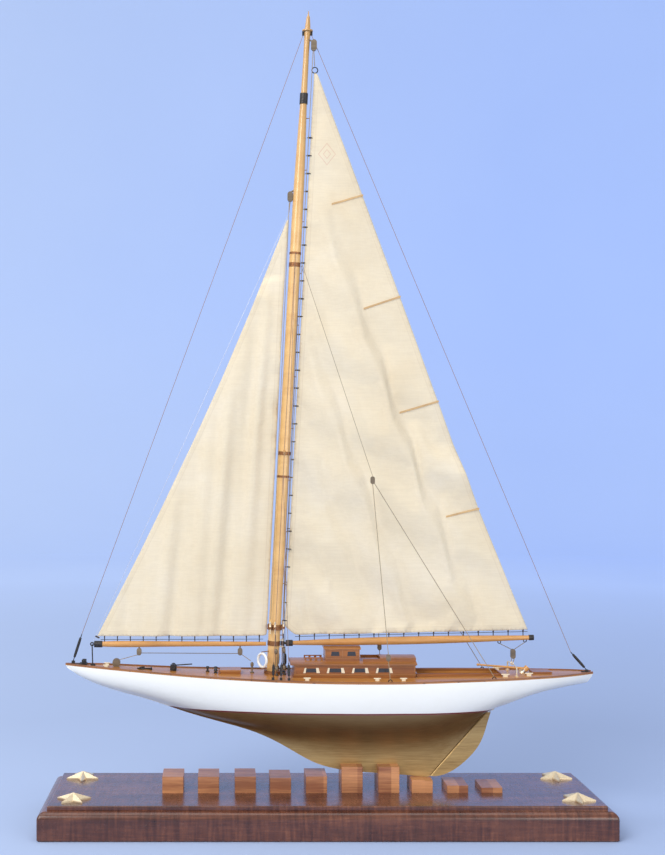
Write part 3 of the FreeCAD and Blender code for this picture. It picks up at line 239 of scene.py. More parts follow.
def metal(name, colour, tarnish, rough=0.3, metallic=1.0, amount=0.5):
    """Old polished metal with tarnish in patches."""
    g = Graph(name)
    patch = g.level(g.noise(g.place(), 500.0, 6.0, 0.6), 0.42, 0.66)
    tone = g.mix(g.math("MULTIPLY", patch, amount), colour, tarnish)
    fine = g.noise(g.place(), 2000.0, 4.0, 0.6)
    roughness = g.mix(patch, rough, min(1.0, rough + 0.25), "FLOAT")
    normal = g.bump(fine, 0.00003, 0.35)
    g.surface(Base_Color=tone, Roughness=roughness, Metallic=metallic, Normal=normal)
    return g.material


def painted(name, colour, rough):
    """Old brushed paint, slightly stained."""
    g = Graph(name)
    patch = g.level(g.noise(g.place(), 60.0, 5.0, 0.6), 0.45, 0.75)
    tone = g.mix(g.math("MULTIPLY", patch, 0.12), colour, (0.55, 0.50, 0.42))
    fine = g.noise(g.place(), 700.0, 5.0, 0.6)
    roughness = g.mix(fine, rough * 0.8, rough * 1.3, "FLOAT")
    shader = g.surface(Base_Color=tone, Roughness=roughness, Normal=g.bump(fine, 0.00004, 0.4))
    shader.inputs["Coat Weight"].default_value = 0.2
    shader.inputs["Coat Roughness"].default_value = 0.15
    return g.material


def hull_paint(name, only_bottom=False):
    """White topsides, a thin dark red boot line and a brushed bronze-gold bottom.

    With only_bottom the whole piece is gold, as the rudder is.
    """
    g = Graph(name)
    z = split(g, g.place())[2]
    wander = g.noise(g.place(), 14.0, 2.0)
    z = g.math("ADD", z, g.math("MULTIPLY", g.math("SUBTRACT", wander, 0.5), 0.0007))
    under = g.level(z, WATERLINE + 0.0001, WATERLINE - 0.0001)
    line = g.math("MULTIPLY", g.level(z, WATERLINE - 0.0001, WATERLINE + 0.0001),
                  g.level(z, WATERLINE + BOOT_WIDTH + 0.0001, WATERLINE + BOOT_WIDTH - 0.0001))
    age = g.level(g.noise(g.place(stretch=(0.5, 1, 1)), 34.0, 5.0, 0.6), 0.42, 0.8)
    white = g.mix(g.math("MULTIPLY", age, 0.14), (0.85, 0.845, 0.80), (0.66, 0.62, 0.50))
    streaks = g.noise(g.place(stretch=(0.05, 1.0, 1.0)), 620.0, 6.0, 0.65, 0.3)
    cloud = g.noise(g.place(stretch=(0.35, 1.0, 1.0)), 26.0, 4.0, 0.55)
    gold_tone = g.mix(0.55, streaks, cloud, "FLOAT")
    gold_stops = [(0.0, (0.30, 0.180, 0.062)), (0.45, (0.50, 0.325, 0.125)), (1.0, (0.68, 0.48, 0.20))]
    gold = g.ramp(g.level(gold_tone, 0.33, 0.66), gold_stops)
    # Painted shade: the gold is darkened to a deep brown in a band just below the boot line. This stands in
    # for the shade and dark reflection of the underside, which faces down; the rudder gets a weaker share of
    # it.
    near_line = g.level(z, WATERLINE - 0.066, WATERLINE - 0.024)
    painted_tuck_shade = 0.30 if only_bottom else 0.76
    gold = g.mix(g.math("MULTIPLY", near_line, painted_tuck_shade), gold, (0.125, 0.058, 0.020))
    red = (0.16, 0.022, 0.018)
    if only_bottom:
        colour, is_gold = gold, 1.0
    else:
        colour = g.mix(under, g.mix(line, white, red), gold)
        is_gold = under
    fine = g.noise(g.place(), 420.0, 5.0, 0.6)
    rough = g.mix(is_gold, g.mix(fine, 0.26, 0.42, "FLOAT"), g.mix(fine, 0.36, 0.52, "FLOAT"), "FLOAT")
    metallic = g.math("MULTIPLY", is_gold, 0.55)
    height = g.mix(is_gold, fine, streaks, "FLOAT")
    shader = g.surface(Base_Color=colour, Roughness=rough, Metallic=metallic,
                       Normal=g.bump(height, 0.00005, 0.45))
    shader.inputs["Coat Weight"].default_value = 0.15
    shader.inputs["Coat Roughness"].default_value = 0.2
    return g.material


def deck_planks(name):
    """Narrow planks along the deck with dark seams, each of a slightly different tone."""
    g = Graph(name)
    plank = 0.0036
    coords = g.place()
    y = split(g, coords)[1]
    x = split(g, coords)[0]
    run = g.math("DIVIDE", g.math("ADD", y, plank * 0.5), plank)
    index = g.math("FLOOR", run)
    across = g.math("ABSOLUTE", g.math("SUBTRACT", g.math("FRACT", run), 0.5))
    seam = g.level(across, 0.455, 0.485)
    butt = g.math("FRACT", g.math("ADD", g.math("MULTIPLY", x, 9.0), g.math("MULTIPLY", index, 0.381)))
    butt = g.level(g.math("ABSOLUTE", g.math("SUBTRACT", butt, 0.5)), 0.4970, 0.4985)
    gap = g.math("MAXIMUM", seam, butt)
    tone = g.add("TexWhiteNoise", {"noise_dimensions": "1D"}, W=index).outputs[0]
    fibre = g.noise(g.place(stretch=(0.05, 1, 1)), 1500.0, 6.0, 0.65, 0.2)
    cloud = g.noise(g.place(stretch=(0.4, 1, 1)), 40.0, 4.0)
    mixed = g.mix(0.5, g.mix(0.45, tone, fibre, "FLOAT"), cloud, "FLOAT")
    tones = [(0.0, (0.31, 0.118, 0.024)), (0.5, (0.44, 0.182, 0.038)), (1.0, (0.55, 0.258, 0.064))]
    colour = g.ramp(g.level(mixed, 0.25, 0.75), tones)
    colour = g.mix(g.math("MULTIPLY", gap, 0.8), colour, (0.11, 0.038, 0.014))
    rough = g.mix(fibre, 0.30, 0.48, "FLOAT")
    height = g.math("SUBTRACT", g.math("MULTIPLY", fibre, 0.2), gap)
    shader = g.surface(Base_Color=colour, Roughness=rough, Normal=g.bump(height, 0.00008, 0.6))
    shader.inputs["Coat Weight"].default_value = 0.35
    shader.inputs["Coat Roughness"].default_value = 0.2
    return g.material


def sailcloth(name):
    """Cream cotton with a fine weave, faint stains and light coming through it."""
    g = Graph(name)
    coords = g.place()
    parts = split(g, coords)
    pitch = 2 * math.pi / 0.0011
    warp = g.math("SINE", g.math("MULTIPLY", parts[0], pitch))
    weft = g.math("SINE", g.math("MULTIPLY", parts[2], pitch))
    weave = g.math("MULTIPLY", g.math("ADD", g.math("MULTIPLY", warp, weft), 1.0), 0.5)
    slub_across = g.noise(g.place(stretch=(0.06, 1, 1)), 1500.0, 3.0, 0.6)
    slub_up = g.noise(g.place(stretch=(1, 1, 0.06)), 1500.0, 3.0, 0.6)
    threads = g.mix(0.5, slub_across, slub_up, "FLOAT")
    cloud = g.noise(coords, 9.0, 5.0, 0.6)
    spots = g.level(g.noise(g.place(shift=(0.3, 0, 0.7)), 30.0, 6.0, 0.7), 0.66, 0.78)
    creams = [(0.0, (0.84, 0.715, 0.50)), (0.5, (0.89, 0.78, 0.575)), (1.0, (0.91, 0.82, 0.65))]
    base = g.ramp(g.level(cloud, 0.3, 0.7), creams)
    base = g.mix(g.math("MULTIPLY", g.level(threads, 0.38, 0.62), 0.10), base, (0.58, 0.47, 0.32))
    base = g.mix(g.math("MULTIPLY", spots, 0.16), base, (0.55, 0.37, 0.19))
    rows = g.noise(g.place(stretch=(0.03, 1, 1)), 520.0, 2.0, 0.5)
    base = g.mix(g.math("MULTIPLY", g.level(rows, 0.40, 0.60), 0.10), base, (0.62, 0.52, 0.36))
    hem = g.add("Attribute", {"attribute_name": "hem"}).outputs["Fac"]
    stitch_line = g.math("ABSOLUTE", g.math("SUBTRACT", hem, HEM * 0.93))
    base = g.mix(g.math("MULTIPLY", g.level(stitch_line, 0.0005, 0.0002), 0.16), base, (0.50, 0.38, 0.24))
    base = g.mix(g.math("MULTIPLY", g.level(hem, HEM * 0.96, HEM * 0.90), 0.10), base, (0.66, 0.52, 0.33))
    across = g.math("ABSOLUTE", g.math("SUBTRACT", parts[0], EMBLEM_X))
    upright = g.math("ABSOLUTE", g.math("SUBTRACT", parts[2], EMBLEM_Z))
    lozenge = g.math("ADD", g.math("MULTIPLY", across, 1.25), upright)
    ring = g.math("ABSOLUTE", g.math("SUBTRACT", lozenge, EMBLEM_HALF))
    inner = g.math("ABSOLUTE", g.math("SUBTRACT", lozenge, EMBLEM_HALF * 0.42))
    drawn = g.math("MAXIMUM", g.level(ring, 0.0008, 0.0004), g.level(inner, 0.0007, 0.0004))
    base = g.mix(g.math("MULTIPLY", drawn, 0.35), base, (0.62, 0.24, 0.15))
    height = g.mix(0.5, weave, threads, "FLOAT")
    normal = g.bump(height, 0.00005, 0.55)
    shader = g.add("BsdfPrincipled", None, Base_Color=base, Roughness=0.88, Normal=normal)
    shader.inputs["Sheen Weight"].default_value = 0.25
    shader.inputs["Sheen Roughness"].default_value = 0.5
    through = g.add("BsdfTranslucent", None, Color=base, Normal=normal)
    both = g.tree.nodes.new("ShaderNodeMixShader")
    both.inputs[0].default_value = 0.22
    g.tree.links.new(shader.outputs[0], both.inputs[1])
    g.tree.links.new(through.outputs[0], both.inputs[2])
    g.tree.links.new(both.outputs[0], g.out.inputs[0])
    return g.material


def rope_material(name, colour, dark):
    """Fibre with the fine light and dark of its twist."""
    g = Graph(name)
    twist = g.noise(g.place(), 2600.0, 3.0, 0.6)
    tone = g.mix(g.level(twist, 0.35, 0.65), dark, colour)
    shader = g.surface(Base_Color=tone, Roughness=0.85, Normal=g.bump(twist, 0.00008, 0.6))
    shader.inputs["Sheen Weight"].default_value = 0.2
    return g.material


def glass(name):
    """Nearly black panes, faintly smudged."""
    g = Graph(name)
    smudge = g.noise(g.place(), 300.0, 4.0)
    shader = g.surface(Base_Color=(0.030, 0.024, 0.020), Roughness=g.mix(smudge, 0.08, 0.25, "FLOAT"))
    shader.inputs["Coat Weight"].default_value = 0.6
    shader.inputs["Coat Roughness"].default_value = 0.05
    return g.material


def base_wood(name):
    """Dark glossy mahogany with lively figure, scuffs and fine scratches on its top."""
    g = Graph(name)
    grain = g.place(stretch=(0.06, 1.0, 1.0))
    broad = g.noise(grain, 55.0, 5.0, 0.6, 0.8)
    fibre = g.noise(grain, 620.0, 7.0, 0.7, 0.2)
    cross = g.noise(g.place(stretch=(1.0, 0.12, 0.08)), 260.0, 5.0, 0.65, 0.3)
    tone = g.mix(0.35, g.mix(0.5, broad, fibre, "FLOAT"), cross, "FLOAT")
    tones = [(0.0, (0.023, 0.007, 0.005)), (0.45, (0.082, 0.025, 0.015)),
             (0.8, (0.155, 0.052, 0.027)), (1.0, (0.24, 0.092, 0.046))]
    colour = g.ramp(g.level(tone, 0.36, 0.62), tones)
    patch = g.level(g.noise(g.place(stretch=(0.5, 1.0, 1.0)), 24.0, 4.0, 0.6), 0.50, 0.68)
    colour = g.mix(g.math("MULTIPLY", patch, 0.45), colour, (0.19, 0.070, 0.038))
    slanted = g.place(stretch=(0.10, 1, 1), turn=(0, 0, 0.35))
    scratches = g.level(g.noise(slanted, 900.0, 4.0, 0.75), 0.66, 0.73)
    chips = g.level(g.noise(g.place(), 130.0, 6.0, 0.75), 0.69, 0.73)
    marks = g.math("MAXIMUM", g.math("MULTIPLY", scratches, 0.22), g.math("MULTIPLY", chips, 0.4))
    colour = g.mix(marks, colour, (0.46, 0.30, 0.20))
    rough = g.mix(marks, g.mix(g.noise(g.place(), 90.0, 5.0), 0.20, 0.34, "FLOAT"), 0.6, "FLOAT")
    height = g.math("SUBTRACT", g.mix(0.5, fibre, cross, "FLOAT"), marks)
    shader = g.surface(Base_Color=colour, Roughness=rough, Normal=g.bump(height, 0.0001, 0.5))
    shader.inputs["Coat Weight"].default_value = 0.35
    shader.inputs["Coat Roughness"].default_value = 0.16
    return g.material


def dark_fittings(name, brown_below=0.0):
    """Blackened metal, browned bronze below the height brown_below."""
    g = Graph(name)
    brown = g.level(split(g, g.place())[2], brown_below + 0.0005, brown_below - 0.0005)
    patch = g.level(g.noise(g.place(), 700.0, 6.0, 0.6), 0.42, 0.66)
    black = g.mix(patch, (0.055, 0.050, 0.046), (0.022, 0.020, 0.022))
    bronze = g.mix(patch, (0.34, 0.145, 0.050), (0.17, 0.070, 0.030))
    roughness = g.mix(patch, 0.42, 0.62, "FLOAT")
    g.surface(Base_Color=g.mix(brown, black, bronze), Roughness=roughness, Metallic=0.55)
    return g.material


ALONG_Z = (0, math.radians(90), 0)
MATERIALS = {
    "mahogany_base": base_wood("base_mahogany"),
    "brass": metal("pale_brass", (0.93, 0.79, 0.56), (0.62, 0.46, 0.28), 0.30, 0.8, amount=0.35),
    "block_wood": wood("keel_block_wood", (0.26, 0.090, 0.040), (0.66, 0.30, 0.125), ring=620,
                       gloss=0.4, coat=0.25, contrast=1.3, cells=0.0391),
    "steel": metal("plain_steel", (0.60, 0.60, 0.60), (0.35, 0.32, 0.28), 0.3),
    "hull_paint": hull_paint("hull_paint"),
    "deck_planking": deck_planks("deck_planks"),
    "varnished_trim": wood("toe_rail_wood", (0.17, 0.058, 0.018), (0.40, 0.160, 0.046), ring=1200,
                           gloss=0.34, coat=0.25),
    "inner_wood": wood("bare_wood", (0.38, 0.24, 0.12), (0.62, 0.44, 0.25), ring=900,
                       gloss=0.6, coat=0.0),
    "cabin_wood": wood("cabin_mahogany", (0.155, 0.046, 0.009), (0.42, 0.148, 0.023), ring=1100,
                       gloss=0.36, coat=0.3),
    "roof_wood": wood("roof_mahogany", (0.215, 0.076, 0.019), (0.49, 0.208, 0.060), ring=1000,
                      gloss=0.36, coat=0.3),
    "window_glass": glass("dark_panes"),
    "cream_trim": painted("cream_paint", (0.80, 0.70, 0.52), 0.4),
    "rudder_paint": hull_paint("rudder_paint", only_bottom=True),
    "spar_wood": wood("spar_pine", (0.62, 0.32, 0.095), (0.90, 0.58, 0.23), grain=ALONG_Z, ring=1000,
                      gloss=0.3, coat=0.45, contrast=0.6, blotches=0.15, aged_above=0.80),
    "dark_metal": dark_fittings("blackened_bronze"),
    "wire": metal("rigging_wire", (0.33, 0.20, 0.15), (0.18, 0.11, 0.085), 0.6, 0.2),
    "sailcloth": sailcloth("sail_cotton"),
    "batten_wood": wood("batten_ash", (0.48, 0.28, 0.115), (0.70, 0.47, 0.22), ring=1400,
                        gloss=0.5, coat=0.1),
    "block_shell": wood("block_shells", (0.085, 0.060, 0.036), (0.27, 0.20, 0.125), ring=1500,
                        gloss=0.4, coat=0.2),
    "rope": rope_material("cotton_rope", (0.42, 0.33, 0.21), (0.22, 0.16, 0.10)),
    "white_paint": painted("ring_white", (0.86, 0.86, 0.83), 0.3),
}
THREAD = rope_material("dark_thread", (0.085, 0.060, 0.050), (0.030, 0.022, 0.020))
PALE_WIRE = metal("pale_wire", (0.56, 0.60, 0.70), (0.42, 0.44, 0.52), 0.4, 0.3)
MAST_METAL = dark_fittings("mast_bronze", brown_below=0.80)
BOOM_WOOD = wood("boom_pine", (0.42, 0.170, 0.040), (0.78, 0.41, 0.125), ring=1000,
                 gloss=0.34, coat=0.3, contrast=0.8, blotches=0.3)


def paint(obj, material):
    """Give a whole object one material."""
    obj.data.materials.clear()
    obj.data.materials.append(material)


def finish_cad_nodes():
    """Every carried-over CAD node takes its slot's material, and a few take a closer match."""
    for entry in frame["record"]["subparts"]:
        paint(nodes[entry["node"]], MATERIALS[entry["material_slot"]])
    for name in ("main_boom", "jib_boom", "tiller", "spreaders"):
        paint(nodes[name], BOOM_WOOD)
    for name in ("mast_bands", "spider_band"):
        paint(nodes[name], MAST_METAL)
    paint(nodes["jib_luff_wire"], PALE_WIRE)
    paint(nodes["runner_lines"], MATERIALS["rope"])


# ---------------------------------------------------------------- mesh helpers
def add_mesh(name, verts, faces, material, smooth=True):
    """A new object in the scene from points and faces."""
    mesh = bpy.data.meshes.new(name)
    mesh.from_pydata([tuple(v) for v in verts], [], faces)
    mesh.validate()
    mesh.update()
    if smooth:
        mesh.shade_smooth()
    obj = bpy.data.objects.new(name, mesh)
    bpy.context.scene.collection.objects.link(obj)
    paint(obj, material)
    return obj


def ring(centre, side, other, radius, sides):
    """Points round a centre, in the plane of two unit vectors."""
    turns = [2 * math.pi * k / sides for k in range(sides)]
    return [centre + radius * (math.cos(a) * side + math.sin(a) * other) for a in turns]


def ring_faces(first, rings, sides):
    """Faces that join rings of points one after another and close both ends."""
    faces = []
    for i in range(rings - 1):
        for k in range(sides):
            a, b = first + i * sides + k, first + i * sides + (k + 1) % sides
            faces.append((a, b, b + sides, a + sides))
    faces.append(tuple(range(first + sides - 1, first - 1, -1)))
    last = first + (rings - 1) * sides
    faces.append(tuple(range(last, last + sides)))
    return faces


def tube_mesh(name, paths, radius, material, sides=8):
    """Round tubes of one radius along lists of points, closed at both ends."""
    verts, faces = [], []
    for path in paths:
        points = [Vector(p) for p in path]
        side = Vector((0.31, 0.85, 0.42))
        first = len(verts)
        for i, p in enumerate(points):
            along = (points[min(i + 1, len(points) - 1)] - points[max(i - 1, 0)]).normalized()
            side = (side - along * side.dot(along)).normalized()
            verts += ring(p, side, along.cross(side), radius, sides)
        faces += ring_faces(first, len(points), sides)
    return add_mesh(name, verts, faces, material)


def between(a, b, count):
    """Points of a straight run in count equal steps."""
    a, b = Vector(a), Vector(b)
    return [a.lerp(b, i / count) for i in range(count + 1)]


def table_value(table, x):
    """Value at x on the straight lines between a table's points."""
    for (x0, v0), (x1, v1) in zip(table, table[1:]):
        if x <= x1:
            return v0 + (v1 - v0) * (x - x0) / (x1 - x0)
    return table[-1][1]


def box_mesh(name, boxes, material):
    """Small blocks given as (x0, x1, y0, y1, z0, z1) in millimetres, their edges broken by a bevel."""
    verts, faces = [], []
    sides = [(0, 3, 2, 1), (4, 5, 6, 7), (0, 1, 5, 4), (1, 2, 6, 5), (2, 3, 7, 6), (3, 0, 4, 7)]
    for x0, x1, y0, y1, z0, z1 in boxes:
        first = len(verts)
        plan = ((x0, y0), (x1, y0), (x1, y1), (x0, y1))
        verts += [(x * MM, y * MM, z * MM) for z in (z0, z1) for x, y in plan]
        faces += [tuple(first + i for i in side) for side in sides]
    obj = add_mesh(name, verts, faces, material, smooth=False)
    bevel = obj.modifiers.new("bevel", "BEVEL")
    bevel.width = 0.00022
    bevel.segments = 2
    mesh = bpy.data.meshes.new_from_object(obj.evaluated_get(bpy.context.evaluated_depsgraph_get()))
    obj.modifiers.clear()
    obj.data = mesh
    return obj


def turned_mesh(name, pieces, material):
    """Turned pieces, each a (low point, direction, profile of distance and radius) in millimetres."""
    verts, faces = [], []
    sides = 20
    for low, direction, profile in pieces:
        low, axis = Vector(low), Vector(direction).normalized()
        side = axis.orthogonal().normalized()
        first = len(verts)
        for distance, radius in profile:
            turn = ring(low + axis * distance, side, axis.cross(side), radius, sides)
            verts += [point * MM for point in turn]
        faces += ring_faces(first, len(profile), sides)
    return add_mesh(name, verts, faces, material)


# ---------------------------------------------------------------- small joinery and tackles
def on_sides(x0, x1, half, reach, z0, z1):
    """The same strip on the port and starboard faces of a house that is half wide each way."""
    return [(x0, x1, *sorted((side * half, side * (half + reach))), z0, z1) for side in (-1, 1)]


def house_box(node, bury=0.0):
    """A node's x0, x1, half width, base and top in millimetres; bury of its height is hidden."""
    low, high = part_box(node)
    return low[0] / MM, high[0] / MM, high[1] / MM, low[2] / MM + bury, high[2] / MM


def cabin_mouldings():
    """Base and eave strips, corner posts and sill strips on the cabin and the doghouse."""
    x0, x1, half, base, top = house_box("cabin_walls")
    door_half = 7.0
    strips = []
    for z0, z1, reach in ((base, base + 1.5, 0.8), (top - 1.1, top, 0.7), (base + 9.2, base + 9.7, 0.35)):
        strips += on_sides(x0 - 0.5, x1 + 0.5, half, reach, z0, z1)
    for x in (x0, x1 - 1.4):
        strips += on_sides(x, x + 1.4, half, 0.55, base + 1.5, top - 1.1)
    for z0, z1 in ((base, base + 1.5), (top - 1.1, top)):
        strips.append((x0 - 0.7, x0, -half, half, z0, z1))
        strips.append((x1, x1 + 0.7, -half, -door_half, z0, z1))
        strips.append((x1, x1 + 0.7, door_half, half, z0, z1))
    x0, x1, half, base, top = house_box("doghouse", bury=3.0)
    for z0, z1 in ((base, base + 1.0), (top - 0.9, top)):
        strips += on_sides(x0 - 0.4, x1 + 0.4, half, 0.5, z0, z1)
    for x in (x0, x1 - 1.0, (x0 + x1) / 2 - 0.6):
        strips += on_sides(x, x + 1.2, half, 0.4, base + 1.0, top - 0.9)
    obj = box_mesh("cabin_mouldings", strips, MATERIALS["roof_wood"])
    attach(obj, "boat")


def mast_tackles():
    """Taut purchases from eyes in the deck beside the mast up to its belaying pins."""
    blocks, lines, eyes = [], [], []
    shell = [(0.0, 0.4), (0.6, 1.5), (2.2, 2.0), (3.8, 2.0), (5.4, 1.5), (6.0, 0.4)]
    eye = [(0, 1.9), (1.9, 1.9), (2.4, 0.7), (4.2, 0.7)]
    deck_top, pin_height = 172.4, 218.4
    # Where each eye and its pin stand, as (x, y); they come in pairs, one each side.
    spots = [((-44.6, -8.4), (-45.3, -5.6)), ((-44.6, 8.4), (-45.3, 5.6)),
             ((-53.6, -15.6), (-55.0, -11.2)), ((-53.6, 15.6), (-55.0, 11.2))]
    for foot_spot, pin_spot in spots:
        foot, pin = Vector((*foot_spot, deck_top)), Vector((*pin_spot, pin_height))
        along = (pin - foot).normalized()
        eyes.append((foot - Vector((0, 0, 1.4)), (0, 0, 1), eye))
        blocks += [(foot + along * 4.0, along, shell), (foot + along * 24.0, along, shell)]
        for step in (-0.9, 0.9):
            shift = Vector((step, 0, 0))
            lines.append([(foot + along * 9.0 + shift) * MM, (foot + along * 25.0 + shift) * MM])
        lines.append([(foot + along * 29.0) * MM, pin * MM])
    pieces = [(turned_mesh("mast_tackle_blocks", blocks, MATERIALS["block_shell"]), "block_shell"),
              (turned_mesh("mast_tackle_eyes", eyes, MATERIALS["dark_metal"]), "dark_metal"),
              (tube_mesh("mast_tackle_lines", lines, ROPE_RADIUS, THREAD, 6), "rope")]
    for obj, slot in pieces:
        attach(obj, "boat")


# ---------------------------------------------------------------- sails
def hollow_edge(low, high, hollow, inward):
    """Points of a sail edge from low to high, moved inward by the hollow table, which is in millimetres."""
    run, rise = high[0] - low[0], high[1] - low[1]
    return [(low[0] + run * share + inward * depth * MM, low[1] + rise * share) for share, depth in hollow]


def spaced(points, step):
    """A closed outline with more points put in, none further apart than step."""
    out = []
    for a, b in zip(points, points[1:] + points[:1]):
        count = max(1, math.ceil(math.dist(a, b) / step))
        run, rise = b[0] - a[0], b[1] - a[1]
        out += [(a[0] + run * i / count, a[1] + rise * i / count) for i in range(count)]
    return out


def edge_distance(points, outline):
    """Distance of each point inside a closed outline from its nearest side, negative outside."""
    points = np.array(points, float)
    best = np.full(len(points), 1e9)
    inside = np.zeros(len(points), bool)
    for a, b in zip(outline, outline[1:] + outline[:1]):
        a, b = np.array(a), np.array(b)
        d = b - a
        t = np.clip(((points - a) @ d) / max(1e-12, d @ d), 0, 1)
        best = np.minimum(best, np.linalg.norm(points - (a + t[:, None] * d), axis=1))
        if a[1] != b[1]:
            crosses = (a[1] > points[:, 1]) != (b[1] > points[:, 1])
            x_at = a[0] + (points[:, 1] - a[1]) * d[0] / d[1]
            inside ^= crosses & (points[:, 0] < x_at)
    return np.where(inside, best, -best)


def cut_cloth(name, outline, hem):
    """Flat even-grained mesh of one sail in the plane Y = 0, with an edge line where its hem ends."""
    xs = [p[0] for p in outline]
    zs = [p[1] for p in outline]
    rim = spaced(outline, CELL)
    sides = zip(outline, outline[1:] + outline[:1])
    area = sum(a[0] * b[1] - b[0] * a[1] for a, b in sides) / 2
    turn = 1.0 if area > 0 else -1.0
    inner = []
    for before, here, after in zip(rim[-1:] + rim[:-1], rim, rim[1:] + rim[:1]):
        along = (Vector(after) - Vector(before)).normalized()
        inner.append((here[0] - turn * along.y * hem, here[1] + turn * along.x * hem))
    keep = edge_distance(inner, outline) > hem * 0.93
    inner = [p for p, good in zip(inner, keep) if good]
    lattice = []
    row_step = CELL * 0.866
    for j in range(int((max(zs) - min(zs)) / row_step) + 1):
        z = min(zs) + j * row_step
        for i in range(int((max(xs) - min(xs)) / CELL) + 2):
            lattice.append((min(xs) + (i + 0.5 * (j % 2)) * CELL, z))
    far = edge_distance(lattice, outline) > hem + CELL * 0.55
    lattice = [p for p, good in zip(lattice, far) if good]
    points = [Vector(p) for p in rim + inner + lattice]
    count = len(rim)
    rim_edges = [(i, (i + 1) % count) for i in range(count)]
    verts, _, faces, _, _, _ = delaunay_2d_cdt(points, rim_edges, [], 1, 1e-6)
    corners = [tuple(face) for face in faces]
    obj = add_mesh(name, [(v.x, 0.0, v.y) for v in verts], corners, MATERIALS["sailcloth"])
    obj["flat_area"] = abs(area)
    return obj


def hang(obj, held, fullness, folds, outline):
    """Cloth simulation of one sail: held(x, z) says which points are tied, folds(x, z) the first slack.

    Near the edges each point gets its own x and z back, so the sail keeps the outline it was cut to.
    """
    frames = 34
    edge_band = 0.030
    mesh = obj.data
    flat = np.array([v.co for v in mesh.vertices], float)
    tied = [i for i, v in enumerate(mesh.vertices) if held(v.co.x, v.co.z)]
    group = obj.vertex_groups.new(name="tied")
    group.add(tied, 1.0, "REPLACE")
    for v in mesh.vertices:
        v.co.y = folds(v.co.x, v.co.z)
    cloth = obj.modifiers.new("cloth", "CLOTH")
    settings = cloth.settings
    settings.quality = 7
    settings.mass = 0.02
    settings.tension_stiffness = 40
    settings.compression_stiffness = 40
    settings.shear_stiffness = 12
    settings.bending_stiffness = 0.35
    settings.tension_damping = 12
    settings.compression_damping = 12
    settings.shear_damping = 12
    settings.bending_damping = 1.5
    settings.air_damping = 3.0
    settings.shrink_min = -fullness
    settings.vertex_group_mass = "tied"
    settings.effector_weights.gravity = 0.35
    cloth.point_cache.frame_start = 1
    cloth.point_cache.frame_end = frames
    scene = bpy.context.scene
    scene.frame_start, scene.frame_end = 1, frames
    for frame_number in range(1, frames + 1):
        scene.frame_set(frame_number)
    settled = obj.evaluated_get(bpy.context.evaluated_depsgraph_get())
    hung = np.array([v.co for v in settled.data.vertices], float)
    obj.modifiers.clear()
    scene.frame_set(1)
    hung = np.where(np.isfinite(hung), hung, flat)
    distance = edge_distance([(p[0], p[2]) for p in flat], outline)
    free = np.clip(distance / edge_band, 0.0, 1.0)[:, None]
    hung[:, 0::2] = flat[:, 0::2] * (1 - free) + hung[:, 0::2] * free
    for v, place in zip(mesh.vertices, hung):
        v.co = place


def finish_cloth(obj, outline, hem):
    """Smooth the settled cloth and give it a thickness, about double at the hem."""
    smooth = obj.modifiers.new("smooth", "SUBSURF")
    smooth.levels = smooth.render_levels = 1
    smooth.boundary_smooth = "PRESERVE_CORNERS"
    mesh = bpy.data.meshes.new_from_object(obj.evaluated_get(bpy.context.evaluated_depsgraph_get()))
    obj.modifiers.clear()
    obj.data = mesh
    distance = edge_distance([(v.co.x, v.co.z) for v in mesh.vertices], outline)
    edge = mesh.attributes.new("hem", "FLOAT", "POINT")
    edge.data.foreach_set("value", np.clip(distance, 0, 1).astype(np.float32))
    group = obj.vertex_groups.new(name="thick")
    for i, d in enumerate(distance):
        group.add([i], 1.0 if d < hem * 1.02 else 0.45, "REPLACE")
    solid = obj.modifiers.new("thick", "SOLIDIFY")
    solid.thickness = 0.0007
    solid.offset = 0.0
    solid.vertex_group = "thick"
    solid.thickness_vertex_group = 0.0
    mesh = bpy.data.meshes.new_from_object(obj.evaluated_get(bpy.context.evaluated_depsgraph_get()))
    obj.modifiers.clear()
    obj.vertex_groups.clear()
    obj.data = mesh
    mesh.shade_smooth()


def wave(x, z, ax, az, phase):
    """A plain ripple whose crests lie across the direction (ax, az)."""
    return math.sin(ax * x + az * z + phase)


def main_folds(x, z):
    """Slack that the mainsail starts with: one full curve and soft folds that run down and aft."""
    width = max(0.02, 0.285 * (MAIN_HEAD_Z - z) / 0.65)
    share = max(0.0, min(1.0, (x - luff_x(z)) / width))
    size = min(1.0, width / 0.17)
    fold = 0.0021 * wave(x, z, 96.0, 34.0, 0.4) + 0.0015 * wave(x, z, 165.0, 58.0, 1.7)
    fold += 0.0010 * wave(x, z, 40.0, 82.0, 2.6) + 0.0008 * wave(x, z, 260.0, 96.0, 0.3)
    edge = math.sin(math.pi * min(1.0, share * 0.92 + 0.08)) ** 0.7
    return size * (fold * edge - 0.0050 * math.sin(math.pi * share) ** 0.8)


def jib_folds(x, z):
    """Slack that the jib starts with: one full curve and nearly upright folds."""
    left, right = jib_luff_x(z) + 0.006, mast_x(z) - 0.0085
    width = max(0.01, right - left)
    share = max(0.0, min(1.0, (x - left) / width))
    size = min(1.0, width / 0.12)
    fold = 0.0020 * wave(x, z, 120.0, -16.0, 0.9) + 0.0013 * wave(x, z, 215.0, -22.0, 0.2)
    fold += 0.0007 * wave(x, z, 330.0, -20.0, 1.2)
    return size * (fold * math.sin(math.pi * share) ** 0.6 - 0.0040 * math.sin(math.pi * share) ** 0.8)


def main_head():
    """The mainsail's upper corner at the leech, as (x, z)."""
    return luff_x(MAIN_HEAD_Z) + 0.0060, MAIN_HEAD_Z


